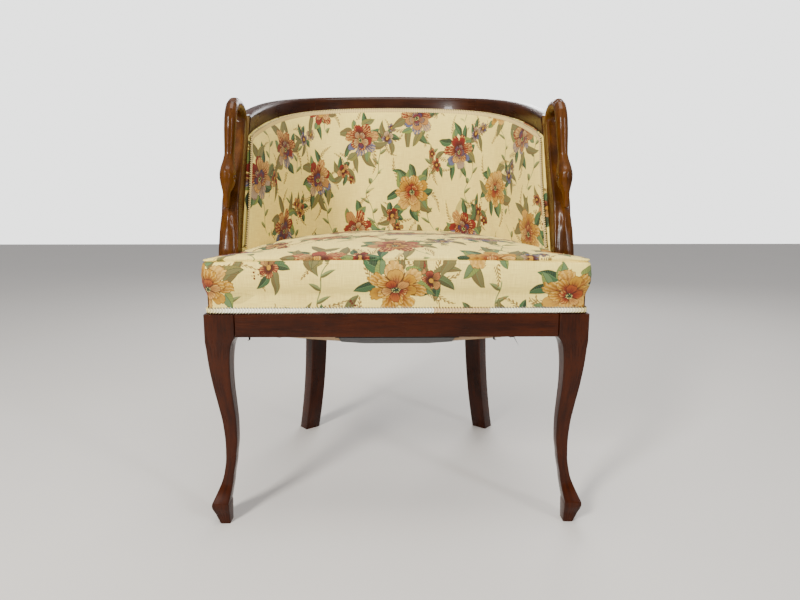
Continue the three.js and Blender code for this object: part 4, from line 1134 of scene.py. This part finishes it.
def add_swans():
    sides = (-1, 1)
    # Hollows beside the bill, under the head's edge
    beside_bill = [swan_head + Vector((side * 0.0108 - 0.0012, -0.001, -0.0315)) for side in sides]
    hollows = [(place, (0.0050, 0.0130, 0.0105)) for place in beside_bill]
    bm = remeshed(merged_copy("swan_post_left"), skin_step, hollows)
    for _ in range(4):
        bmesh.ops.smooth_vert(
            bm, verts=bm.verts, factor=0.5, use_axis_x=True, use_axis_y=True, use_axis_z=True,
        )
    for offset, reach, height in head_swellings:
        swell(bm, swan_head + Vector(offset), reach, height)
    for side in sides:
        carve_eye(bm, swan_head + Vector((side * 0.0135, 0.002, -0.002)), side, eye_radius)
    swan = make_piece("swan_left_wood", bm, swan_wood, "show_wood", "swan_post_left")
    make_mirrored(swan, "swan_right_wood", "swan_post_right")


def finish_hidden_nodes():
    """Timber and screws inside the chair keep their solids and get their own finish."""
    for name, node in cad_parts.items():
        if "block" in name or "dowel" in name or "tack_rail" in name:
            node.data.materials[0] = beech
        if "screw" in name:
            node.data.materials[0] = screw_steel


# Upholstery


cloth_frames = 20
cloth_settings = {
    "quality": 6, "mass": 0.3, "tension_stiffness": 25, "compression_stiffness": 15, "shear_stiffness": 8,
    "bending_stiffness": 0.8, "use_pressure": True, "vertex_group_mass": "held",
}


def relaxed_by_cloth(piece, held, pressure, cap):
    """Lets a padded cover swell as cloth does; held is each point's hold, from 0 to 1."""
    group = piece.vertex_groups.new(name="held")
    for index, weight in enumerate(held):
        group.add([index], float(weight), "REPLACE")
    cloth = piece.modifiers.new("cloth", "CLOTH")
    for name, value in cloth_settings.items():
        setattr(cloth.settings, name, value)
    cloth.settings.effector_weights.gravity = 0
    cloth.settings.uniform_pressure_force = pressure
    cloth.collision_settings.use_self_collision = False
    for step in range(1, cloth_frames + 1):
        bpy.context.scene.frame_set(step)
    shape = piece.evaluated_get(bpy.context.evaluated_depsgraph_get()).to_mesh()
    for point, moved in zip(piece.data.vertices, shape.vertices):
        way = moved.co - point.co
        if way.length > cap:
            way *= cap / way.length
        point.co += way
    piece.modifiers.remove(cloth)
    piece.vertex_groups.remove(group)
    bpy.context.scene.frame_set(1)


def settled(piece, levels):
    """Applies a subdivision, so that creases can be worked into the finer mesh."""
    subdivide(piece, levels)
    shape = piece.evaluated_get(bpy.context.evaluated_depsgraph_get())
    finer = bpy.data.meshes.new_from_object(shape)
    piece.modifiers.clear()
    piece.data = finer


def ripple(run, seed, pitch):
    """Uneven folds along an edge that is pulled tight, from -1 to 1."""
    return noise.noise((run / pitch, seed, 0.0)) + 0.5 * noise.noise((run / pitch * 2.3, seed + 9, 0.0))


# Where the cover's creases lie, in metres. Below skirt_top the cover hangs outside the rails.
skirt_top = 0.3745
crease_bottom = 0.379
seam_height = seat_edge - 0.004
edge_plane = half_width - 0.004
tuck_height = 0.384
tuck_top = 0.41
tuck_reach = 0.03


def band_puckers(run, height):
    """How far the band stands out in the puckers below its seam and above the braid."""
    near_seam = math.exp(-((seam_height - height) / 0.014))
    near_braid = math.exp(-((height - crease_bottom) / 0.022))
    return 0.0007 * ripple(run, 1, 0.011) * near_seam + 0.0010 * ripple(run, 5, 0.017) * near_braid


def corner_tuck(x, depth, height, corner):
    """How far the cover lies in at the slanting tuck, and stands out in the creases beside it."""
    aside = abs(x) - edge_plane + depth * 0.6
    along_tuck = math.exp(-((height - tuck_height) / 0.010) ** 2)
    tuck = math.exp(-((aside - (height - tuck_height) * 0.35) / 0.0022) ** 2) * along_tuck
    beside = math.exp(-((corner - 0.012) / 0.009) ** 2)
    crease = math.sin(height * full_turn / 0.0052)
    above_block = min(1, max(0, (height - skirt_top) / 0.006))
    return 0.0028 * tuck * above_block, 0.0007 * crease * beside * above_block


def crease_seat(piece):
    """Puckers along the seam and above the braid, and a tuck at both front corners."""
    for point, normal in [(vert, vert.normal.copy()) for vert in piece.data.vertices]:
        x, y, z = point.co
        depth = y + depth_centre
        in_front = depth < 0.002
        outside = in_front or abs(x) > edge_plane
        if z < crease_bottom or depth > return_depth - 0.004:
            continue
        if outside and z < seam_height:
            # Away from the front the ripple goes on at another place of its pattern.
            point.co += normal * band_puckers(x if in_front else depth + 3, z)
        corner = math.hypot(abs(x) - edge_plane, depth - 0.004)
        if corner < tuck_reach and z < tuck_top:
            inward, outward = corner_tuck(x, depth, z, corner)
            point.co -= normal * inward
            point.co += normal * outward
        elif z > seat_edge and not outside:
            edge_gap = min(half_width - abs(x), depth)
            pucker = ripple(x if edge_gap == depth else depth, 3, 0.012)
            point.co.z += 0.0004 * pucker * math.exp(-edge_gap / 0.016)


def seat_top(x, depth):
    across = np.minimum(1, np.abs(x) / half_width)
    along = np.clip(depth / seat_rise_depth, 0, 1)
    return seat_edge + seat_crown * (1 - across**crown_power) * (1 - (1 - along) ** crown_power)


# Points of the seat's half outline: front, corner, side, return beside the arm; then the back
front_points, corner_points, side_points, return_points = 39, 12, 13, 11
seat_turns = np.linspace(0, 0.5, 70)
seat_insets = cover_face(seat_turns, pad_bottom) + clearance


def seat_outline(side_swell, front_swell, fit=0.0):
    """Left half of the seat's plan, from the front's middle to the back's, in the same steps."""
    side = half_width + side_swell
    straight = np.linspace(0, half_width - corner_radius, front_points + 1)[:-1]
    front = np.column_stack([-straight, np.full(len(straight), -front_swell)])
    angles = np.linspace(0, math.pi / 2, corner_points)
    corner = np.column_stack([
        corner_radius - half_width - (corner_radius + side_swell) * np.sin(angles),
        corner_radius - (corner_radius + front_swell) * np.cos(angles),
    ])
    depths = np.linspace(corner_radius, return_depth - fit, side_points + 1)[1:]
    beside = np.column_stack([np.full(len(depths), -side), depths])
    inner = inner_seat_half - fit
    spreads = np.linspace(side, inner, return_points + 1)[1:]
    step = np.column_stack([-spreads, np.full(len(spreads), return_depth - fit)])
    back = barrel_point(seat_turns, seat_insets + fit, lean_height)[:, :2] + (0, depth_centre)
    back[:, 0] = np.maximum(back[:, 0], -inner)
    return np.concatenate([front, corner, beside, step, back])


def runs_along(points):
    """How far along a line of points each of them lies."""
    return np.concatenate([[0], np.cumsum(np.linalg.norm(np.diff(points, axis=0), axis=1))])


rest_outline = seat_outline(0, 0)
outline_runs = runs_along(rest_outline)
outline_steps = np.arange(len(rest_outline))


def outline_places(steps, side_swell, front_swell, fit=0.0):
    """Plan points at fractional steps of the whole outline; negative steps lie on the right."""
    half = seat_outline(side_swell, front_swell, fit)
    x, y = (np.interp(np.abs(steps), outline_steps, half[:, axis]) for axis in (0, 1))
    return np.column_stack([np.where(steps < 0, -x, x), y])


def even_steps(start, end, count):
    """Steps of the outline that lie evenly along it between two of its points."""
    first, last = (np.interp(step, outline_steps, outline_runs) for step in (start, end))
    return np.interp(np.linspace(first, last, count), outline_runs, outline_steps)


def filled_outline(front, side, back, side_swell, front_swell, fit=0.0):
    """A patch of plan points between the front, side and back edges of an outline."""
    place = lambda steps: outline_places(steps, side_swell, front_swell, fit)
    near, far = place(front), place(back)
    left, right = place(side), place(-side)
    u = np.linspace(0, 1, len(front))[None, :, None]
    v = np.linspace(0, 1, len(side))[:, None, None]
    between = (1 - v) * near[None] + v * far[None] + (1 - u) * left[:, None] + u * right[:, None]
    near_corners = (1 - u) * (1 - v) * near[0] + u * (1 - v) * near[-1]
    corners = near_corners + (1 - u) * v * far[0] + u * v * far[-1]
    return between - corners


# In front of the arms the cover hangs over the rails; behind them it ends on the platform.
last_hanging = front_points + corner_points + side_points
front_corner_step = front_points + (corner_points - 1) / 2
rear_corner_step = last_hanging + return_points + 42
side_steps = even_steps(front_corner_step, rear_corner_step, 50)
front_half_steps = even_steps(0, front_corner_step, 33)
back_half_steps = even_steps(rear_corner_step, len(rest_outline) - 1, 33)
front_steps = np.concatenate([front_half_steps[::-1], -front_half_steps[1:]])
back_steps = np.concatenate([back_half_steps, -back_half_steps[::-1][1:]])
top_margin = 0.008

# From the top's margin out over the seam, in metres: stand-off from the band's rest plane, and
# rise above the seat's top. The row of the groove parts the top's panel from the band's.
seam_rows = [
    (-0.0050, 0.0000), (-0.0024, 0.0004), (0.0000, 0.0003), (0.0008, -0.0008),
    (-0.0004, -0.0018), (-0.0030, -0.0022), (-0.0030, -0.0030), (-0.0008, -0.0042),
]
groove_row = 5
# Down the band: share of its height above the rails, and share of its bulge
band_rows = [
    (0.94, 0.1), (0.87, 0.45), (0.8, 0.75), (0.7, 0.95), (0.56, 1.0), (0.43, 0.9), (0.3, 0.6), (0.21, 0.2),
]
skirt_heights = (skirt_top, 0.3705, 0.362, 0.353, show_top + clearance)
side_bulge = 0.0035
front_bulge = 0.0055
skirt_swell = cover_thickness + clearance - rabbet


def add_seat_cushion():
    """Top, seam, band and skirt as one padded cover, with its pattern cut in panels."""
    plan = filled_outline(front_steps, side_steps, back_steps, -top_margin, -top_margin, top_margin)
    top = seat_top(plan[..., 0], plan[..., 1])
    bm = grid_at(np.dstack([plan[..., 0], plan[..., 1] - depth_centre, top]))
    step_layer = bm.verts.layers.float.new("outline_step")
    band_layer = bm.faces.layers.int.new("band_panel")
    rows, columns = plan.shape[:2]
    for vert in bm.verts:
        row, column = divmod(vert.index, columns)
        if column == 0:
            vert[step_layer] = side_steps[row]
        elif column == columns - 1:
            vert[step_layer] = -side_steps[row]
        elif row == 0:
            vert[step_layer] = front_steps[column]
        elif row == rows - 1:
            vert[step_layer] = back_steps[column]

    def extend(swell, front_swell, fit, height_at, band=1):
        """Grows the open edge by one row, of the band's panel or of the top's."""
        open_edges = [edge for edge in bm.edges if edge.is_boundary]
        grown = bmesh.ops.extrude_edge_only(bm, edges=open_edges)["geom"]
        verts = [item for item in grown if isinstance(item, bmesh.types.BMVert)]
        for face in [item for item in grown if isinstance(item, bmesh.types.BMFace)]:
            face[band_layer] = band
        steps = np.array([vert[step_layer] for vert in verts])
        places = outline_places(steps, swell, front_swell, fit)
        heights = height_at(places, np.abs(steps))
        for vert, (x, depth), height in zip(verts, places, heights):
            vert.co = (x, depth - depth_centre, height)

    def bottom_at(steps, hanging):
        share = np.clip((steps - last_hanging) / 3, 0, 1)
        return hanging + (foam_bottom - hanging) * share

    for index, (stand_off, rise) in enumerate(seam_rows):
        on_top = lambda places, steps: seat_top(places[:, 0], places[:, 1]) + rise
        extend(stand_off, stand_off, -stand_off, on_top, band=int(index > groove_row))
    for share, bulge in band_rows:
        level = rail_top + (seat_edge - rail_top) * share
        on_platform = max(level, foam_bottom + 0.004 + (level - rail_top) * 0.2)
        down_band = lambda places, steps: np.where(steps > last_hanging, on_platform, level)
        extend(side_bulge * bulge, front_bulge * bulge, 0.0, down_band)
    for height in skirt_heights:
        lift = (height - show_top) / (skirt_top - show_top) * 0.003
        down_skirt = lambda places, steps: bottom_at(steps, height) + lift * (steps > last_hanging)
        extend(skirt_swell, skirt_swell, 0.0, down_skirt)
    inner = skirt_swell - cover_thickness
    turned_in = lambda places, steps: bottom_at(steps, show_top + clearance) + 0.0001
    extend(inner, inner, cover_thickness, turned_in)
    underside = foam_bottom + 0.0006
    extend(inner, inner, cover_thickness, lambda places, steps: np.full(len(steps), underside))
    plan = filled_outline(front_steps, side_steps, back_steps, inner, inner, cover_thickness)
    level = np.full(plan.shape[:2], underside)
    join_in(bm, grid_at(np.dstack([plan[..., 0], plan[..., 1] - depth_centre, level])))
    bmesh.ops.remove_doubles(bm, verts=bm.verts, dist=1e-6)
    bmesh.ops.recalc_face_normals(bm, faces=bm.faces)
    add_panel_pattern(bm)
    cushion = make_piece("seat_cushion", bm, tapestry, "tapestry", "seat_cover", "seat_foam")
    held = []
    for vert in cushion.data.vertices:
        low = vert.co.z < crease_bottom
        behind = vert.co.y + depth_centre > return_depth - 0.002 and vert.co.z < seat_edge - 0.001
        held.append(1.0 if low or behind else 0.0)
    relaxed_by_cloth(cushion, held, 1.2, 0.006)
    settled(cushion, 1)
    crease_seat(cushion)
    subdivide(cushion, 1)


def add_panel_pattern(bm):
    """The top is cut as one panel, the band as another that runs round the front and the sides."""
    band_start, band_foot = 0.034, 0.334
    top_start, top_front = 0.02, 0.31
    layer = bm.loops.layers.uv.new("cloth")
    step_layer = bm.verts.layers.float["outline_step"]
    band_layer = bm.faces.layers.int["band_panel"]
    for face in bm.faces:
        for loop in face.loops:
            x, y, z = loop.vert.co
            step = loop.vert[step_layer]
            run = math.copysign(np.interp(abs(step), outline_steps, outline_runs), -step)
            on_band = (run + band_start, z - band_foot)
            on_top = (x + top_start, y + depth_centre + top_front)
            loop[layer].uv = on_band if face[band_layer] else on_top


def add_back_cushion():
    """The padded inside of the back: its face swells, and its back lies flat on the hessian."""
    turns = np.linspace(front_turn, 1 - front_turn, 121)
    shares = np.sin(np.linspace(0, math.pi / 2, 30)) * 0.55 + np.linspace(0, 1, 30) * 0.45
    turn, share = np.meshgrid(turns, shares)
    height = pad_bottom + (crest_bottom(turn) - clearance - pad_bottom) * share
    face = barrel_point(turn, cover_face(turn, height), height)
    pattern = np.dstack([turn * barrel_length, height])
    bm = grid_at(face, pattern)
    join_in(bm, grid_at(barrel_point(turn, pad_inset, height), pattern))
    open_edges = [edge for edge in bm.edges if edge.is_boundary]
    bmesh.ops.bridge_loops(bm, edges=open_edges)
    bmesh.ops.recalc_face_normals(bm, faces=bm.faces)
    cushion = make_piece("back_cushion", bm, tapestry, "tapestry", "inner_cover", "inner_pad")
    count = turn.size
    edge = np.minimum(np.minimum(share, 1 - share) * 8, (1 - sideways(turn)) * 14)
    held = np.concatenate([np.clip(1 - edge.reshape(-1), 0, 1), np.ones(count)])
    relaxed_by_cloth(cushion, held, 1.0, 0.005)
    subdivide(cushion, 1)


def wall_sheet(node, finish, slot, inset, thickness, low, high_at):
    """A cloth that is stretched round the barrel."""
    turns = np.linspace(front_turn, 1 - front_turn, 111)
    turn, share = np.meshgrid(turns, np.linspace(0, 1, 12))
    height = low + (high_at(turn) - low) * share
    places = barrel_point(turn, inset, height)
    bm = grid_at(places, np.dstack([turn * barrel_length, height]))
    bmesh.ops.reverse_faces(bm, faces=bm.faces)
    area = sum(face.calc_area() for face in bm.faces)
    length = (high_at(turns) - low).max()
    piece = make_piece(f"{node}_cloth", bm, finish, slot, node)
    give_wall(piece, thickness)


def add_wall_cloths():
    top = lambda turn: crest_bottom(turn) - clearance
    tongue = lambda turn: crest_bottom(turn) - crest_tongue - clearance
    on_show_wood, on_rail = show_top + clearance, rail_top + clearance
    liner_inset = rabbet + clearance
    wall_sheet("outer_cover", tapestry, "tapestry", cover_inset, cover_thickness, on_show_wood, top)
    wall_sheet("outer_liner", hessian, "hessian", liner_inset, cloth_thickness, on_rail, tongue)
    wall_sheet("inner_hessian", hessian, "hessian", hessian_inset, cloth_thickness, pad_bottom, top)


web_spread = 0.084
web_width = 0.050
web_thickness = 0.0015
web_low = rail_top + clearance
web_rise = web_thickness + clearance
lengthwise_webs = [step * web_spread / 2 for step in (-3, -1, 1, 3)]
crosswise_webs = [0.165 + step * web_spread for step in range(3)]


def add_web(node, start, end, crossings, rises, place):
    """A woven strap that lies on the rails and goes over every second strap it meets."""
    near_crossing = web_width / 2 + 0.003
    runs = np.linspace(start, end, 60)
    levels = np.zeros(len(runs))
    for centre, rise in zip(crossings, rises):
        if rise:
            levels = np.maximum(levels, np.clip(1.55 - np.abs(runs - centre) / near_crossing, 0, 1))
    across = np.linspace(-web_width / 2, web_width / 2, 9)
    heights = web_low + levels * web_rise
    rows = np.array([[place(run, side, height) for side in across] for run, height in zip(runs, heights)])
    pattern = np.stack(np.meshgrid(across, runs), axis=-1)
    bm = grid_at(rows, pattern)
    bmesh.ops.recalc_face_normals(bm, faces=bm.faces)
    for face in bm.faces:
        if face.normal.z < 0:
            face.normal_flip()
    strap = make_piece(f"{node}_strap", bm, webbing_jute, "hessian", node)
    give_wall(strap, web_thickness, 1)


def add_webbing():
    for index, centre in enumerate(lengthwise_webs):
        node = f"web_lengthwise_{index + 1}"
        low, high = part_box(node)
        add_web(
            node, low.y, high.y,
            [depth - depth_centre for depth in crosswise_webs],
            [(crossing + index) % 2 == 0 for crossing in range(3)],
            lambda run, side, height: (centre + side, run, height),
        )
    for index, centre in enumerate(crosswise_webs):
        node = f"web_crosswise_{index + 1}"
        low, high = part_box(node)
        add_web(
            node, low.x, high.x,
            lengthwise_webs,
            [(crossing + index) % 2 == 1 for crossing in range(4)],
            lambda run, side, height: (run, centre + side - depth_centre, height),
        )


def node_sheet(name, node, finish, slot):
    """A flat cloth of the part, with its own shape."""
    bm = merged_copy(node)
    layer = bm.loops.layers.uv.new("cloth")
    for face in bm.faces:
        for loop in face.loops:
            loop[layer].uv = loop.vert.co.xy
    upward = sum(face.calc_area() for face in bm.faces if face.normal.z > 0.3)
    piece = make_piece(name, bm, finish, slot, node)


# Scraps of the torn dust cover under the front rail, in metres:
# place along it, width at the rail and at the tip, length, how far the tip leans and curls back
cloth_scraps = [
    (-0.230, 0.0040, 0.0018, 0.0070, 0.0020, -0.0040),
    (-0.184, 0.0110, 0.0060, 0.0034, 0.0010, 0.0000),
    (-0.156, 0.0180, 0.0120, 0.0024, 0.0000, 0.0010),
    (0.152, 0.0040, 0.0018, 0.0070, -0.0030, 0.0050),
    (0.180, 0.0140, 0.0080, 0.0036, -0.0020, 0.0010),
]
scrap_depth = 0.016
scrap_hem = np.array([0.006, 0.004, 0.002])
scrap_thickness = 0.0003
widest_smooth_scrap = 0.01


def scrap_mesh(index, x, width, tip, length, lean, curl):
    """One torn end: a hem that is tacked under the rail, then a ragged tongue that hangs from it."""
    hanging = np.linspace(0, 1, 12)
    rows_down = np.concatenate([0 * scrap_hem, hanging])
    across, down = np.meshgrid(np.linspace(-0.5, 0.5, 7), rows_down)
    tacked = np.broadcast_to(np.concatenate([scrap_hem, 0 * hanging])[:, None], down.shape)
    breadth = width + (tip - width) * np.sqrt(down)
    ragged = 1 - 0.25 * np.abs(np.sin(across * 7 + index)) * (width > widest_smooth_scrap)
    swing = (0.0015 * np.sin(across * 5 + index) - 0.1 * abs(curl)) * down
    fall = length * np.sin(down * (1.57 + 60 * abs(curl))) * ragged
    places = np.dstack([
        x + across * breadth + lean * down + curl * down ** 3,
        scrap_depth - depth_centre + tacked + swing,
        rail_bottom - clearance - fall,
    ])
    return grid_at(places, np.dstack([across * width, down * length - tacked]))


def add_cloth_scraps():
    """Torn ends that still hang from the tacks."""
    pieces = bmesh.new()
    for index, scrap in enumerate(cloth_scraps):
        join_in(pieces, scrap_mesh(index, *scrap))
    flat_area = sum(face.calc_area() for face in pieces.faces)
    scraps = make_piece("torn_scraps_cloth", pieces, black_cloth, "dust_cover", "bottom_hessian")
    give_wall(scraps, scrap_thickness)


def add_flat_cloths():
    node_sheet("seat_hessian_cloth", "seat_hessian", hessian, "hessian")
    node_sheet("bottom_hessian_cloth", "bottom_hessian", hessian, "hessian")
    node_sheet("dust_cover_cloth", "dust_cover_patch", black_cloth, "dust_cover")


# Braid


braid_step = 0.0005


def braid(node, path, outward, finish, relief):
    """A braid along a path on a surface. relief gives its height and width by run and side."""
    runs = runs_along(path)
    even = np.linspace(0, runs[-1], int(runs[-1] / braid_step))
    place = np.column_stack([np.interp(even, runs, path[:, axis]) for axis in range(3)])
    out = unit(np.column_stack([np.interp(even, runs, outward[:, axis]) for axis in range(3)]))
    along = unit(np.gradient(place, axis=0))
    aside = unit(np.cross(along, out))
    sides = np.linspace(-1, 1, 11)
    height, scale = relief(even[:, None], sides[None, :])
    across = (sides[None, :] * scale * gimp_width / 2)[..., None]
    face = place[:, None] + aside[:, None] * across + out[:, None] * height[..., None]
    foot = place[:, None] + aside[:, None] * across[:, [-1, 0]]
    pattern_across = np.concatenate([(sides + 1) * gimp_width / 2, [gimp_width, 0, 0]])
    bm = swept(np.concatenate([face, foot], axis=1), even, pattern_across)
    make_piece(f"{node}_braid", bm, finish, "braid", node)


def picot_relief(run, side):
    """Two plaited cords between scalloped edges."""
    turn = run * full_turn / picot_pitch
    scale = 1.04 - 0.27 * (1 - np.cos(turn)) * np.abs(side) ** 2.5
    plait = 0.5 + 0.5 * np.cos(turn + np.abs(side) * picot_slant)
    body = np.sqrt(np.clip(1 - np.abs(side) ** 6, 0, 1))
    return gimp_thickness * (0.35 + 0.65 * plait) * body, scale


def ribbed_relief(run, side):
    """Close ribs across the braid between two corded edges."""
    rib = 0.5 + 0.5 * np.cos(run * full_turn / rib_pitch)
    notch = 1 - 0.10 * (1 - rib) * np.abs(side) ** 4
    body = np.sqrt(np.clip(1 - np.abs(side) ** 8, 0, 1))
    return gimp_thickness * (0.78 + 0.22 * rib) * body, notch


def braid_on_wall(node, turns, heights, inset_at, flip=1):
    """A braid on the barrel's inner face, or on its outer one with a flip of -1."""
    path = barrel_point(turns, inset_at(turns, heights), heights)
    deeper = barrel_point(turns, inset_at(turns, heights) + flip * 0.01, heights)
    braid(node, path, unit(deeper - path), cream_braid, ribbed_relief)


def mirrored_turns(turns, heights):
    """Places of a left half, and then of the right half in mirror image."""
    return np.concatenate([turns, 1 - turns[::-1][1:]]), np.concatenate([heights, heights[::-1][1:]])


def add_seat_braid():
    stand_off = skirt_swell + clearance
    half = outline_places(np.arange(last_hanging + 1.0), stand_off, stand_off)
    half = half[half[:, 1] < return_depth + 1e-6]
    plan = np.concatenate([half[::-1], half[1:] * (-1, 1)])
    height = np.full(len(plan), show_top + clearance + gimp_width / 2)
    path = np.column_stack([plan[:, 0], plan[:, 1] - depth_centre, height])
    along = np.gradient(plan, axis=0)
    outward = unit(np.column_stack([along[:, 1], -along[:, 0], np.zeros(len(plan))]))
    braid("seat_gimp", path, outward, white_braid, picot_relief)


def add_outer_braids():
    around = np.linspace(front_turn, 1 - front_turn, 400)
    outside = lambda turn, height: np.full_like(turn, cover_inset - clearance)
    low = np.full_like(around, show_top + clearance + gimp_width / 2)
    braid_on_wall("outer_lower_gimp", around, low, outside, -1)
    high = crest_bottom(around) - clearance - gimp_width / 2
    braid_on_wall("outer_top_gimp", around, high, outside, -1)


def add_inner_braid():
    """Up beside one arm post, round under the crest, and down beside the other."""
    edge = gimp_width / 2 / barrel_length + front_turn
    bend = gimp_width / barrel_length
    under_crest = lambda turn: crest_bottom(turn) - gimp_width / 2 - clearance
    rise = np.linspace(seat_edge + gimp_width, under_crest(edge) - gimp_width, 60)
    top = np.linspace(edge + bend, 0.5, 160)
    turns = np.concatenate([np.full(len(rise), edge), [edge + bend / 4], top])
    heights = np.concatenate([rise, [under_crest(edge) - gimp_width / 4], under_crest(top)])
    inside = lambda turn, height: cover_face(turn, height) + clearance
    braid_on_wall("inner_gimp", *mirrored_turns(turns, heights), inside)


# Stage


# Name, place, width and height, power in watts, and colour
studio_lights = [
    ("ceiling_light", (0.1, -0.3, 2.3), (1.2, 0.8), 26, (1.0, 0.98, 0.94)),
    ("front_left_light", (-1.2, -2.0, 1.6), (0.4, 0.8), 95, (1.0, 0.97, 0.92)),
    ("front_right_light", (1.6, -1.8, 1.2), (0.25, 0.9), 24, (0.97, 0.98, 1.0)),
    ("back_light", (0.4, 1.9, 1.6), (1.2, 0.8), 30, (1.0, 1.0, 1.0)),
]
light_aim = Vector((0, 0, 0.4))


def add_stage():
    bm = bmesh.new()
    bmesh.ops.create_grid(bm, x_segments=2, y_segments=2, size=6)
    mesh = bpy.data.meshes.new("floor")
    bm.to_mesh(mesh)
    bm.free()
    floor = new_object("floor", mesh)
    material, nodes, shader = new_material("pale_floor", Roughness=0.6)
    haze = nodes.noise(object_place(nodes), 3.0, 2.0)
    colour = nodes.blend(haze * 0.3, paint(206, 202, 196), paint(194, 190, 184))
    nodes.join(colour, shader.inputs["Base Color"])
    mesh.materials.append(material)
    add_studio_air()
    for light in studio_lights:
        add_light(*light)


def add_studio_air():
    """A pale backdrop, and for reflections a dim room with a bright ceiling."""
    world = bpy.data.worlds.new("studio")
    world.use_nodes = True
    nodes = Nodes(world.node_tree)
    background = world.node_tree.nodes["Background"]
    direction = nodes.add("TexCoord")
    _, _, upward = nodes.parts(direction)
    room = nodes.blend(upward.over(0.35, 0.9), (0.10, 0.10, 0.11, 1), (0.75, 0.75, 0.77, 1))
    seen = nodes.add("LightPath")
    nodes.join(nodes.blend(seen, room, (2.5, 2.52, 2.5, 1)), background.inputs["Color"])
    bpy.context.scene.world = world


def add_light(name, place, size, power, colour):
    """A soft light that faces the chair's middle."""
    light = bpy.data.lights.new(name, "AREA")
    light.shape = "RECTANGLE"
    light.size, light.size_y = size
    light.energy = power
    light.color = colour
    lamp = new_object(name, light)
    lamp.location = place
    lamp.rotation_euler = (light_aim - Vector(place)).to_track_quat("-Z", "Y").to_euler()


def add_camera():
    """The photograph's own angle, from a fit to its outlines."""
    data = bpy.data.cameras.new("camera")
    data.lens = 27
    data.sensor_width = 36
    camera = new_object("camera", data)
    camera.location = (-0.006, -1.1476, 0.516)
    camera.rotation_euler = (math.radians(80.54), 0, math.radians(-0.66))
    bpy.context.scene.camera = camera


add_camera()
add_stage()
finish_hidden_nodes()
add_front_legs()
add_rear_legs()
add_front_rail()
add_curved_rails()
add_top_line()
add_swans()
add_webbing()
add_flat_cloths()
add_cloth_scraps()
add_wall_cloths()
add_back_cushion()
add_seat_cushion()
add_seat_braid()
add_outer_braids()
add_inner_braid()
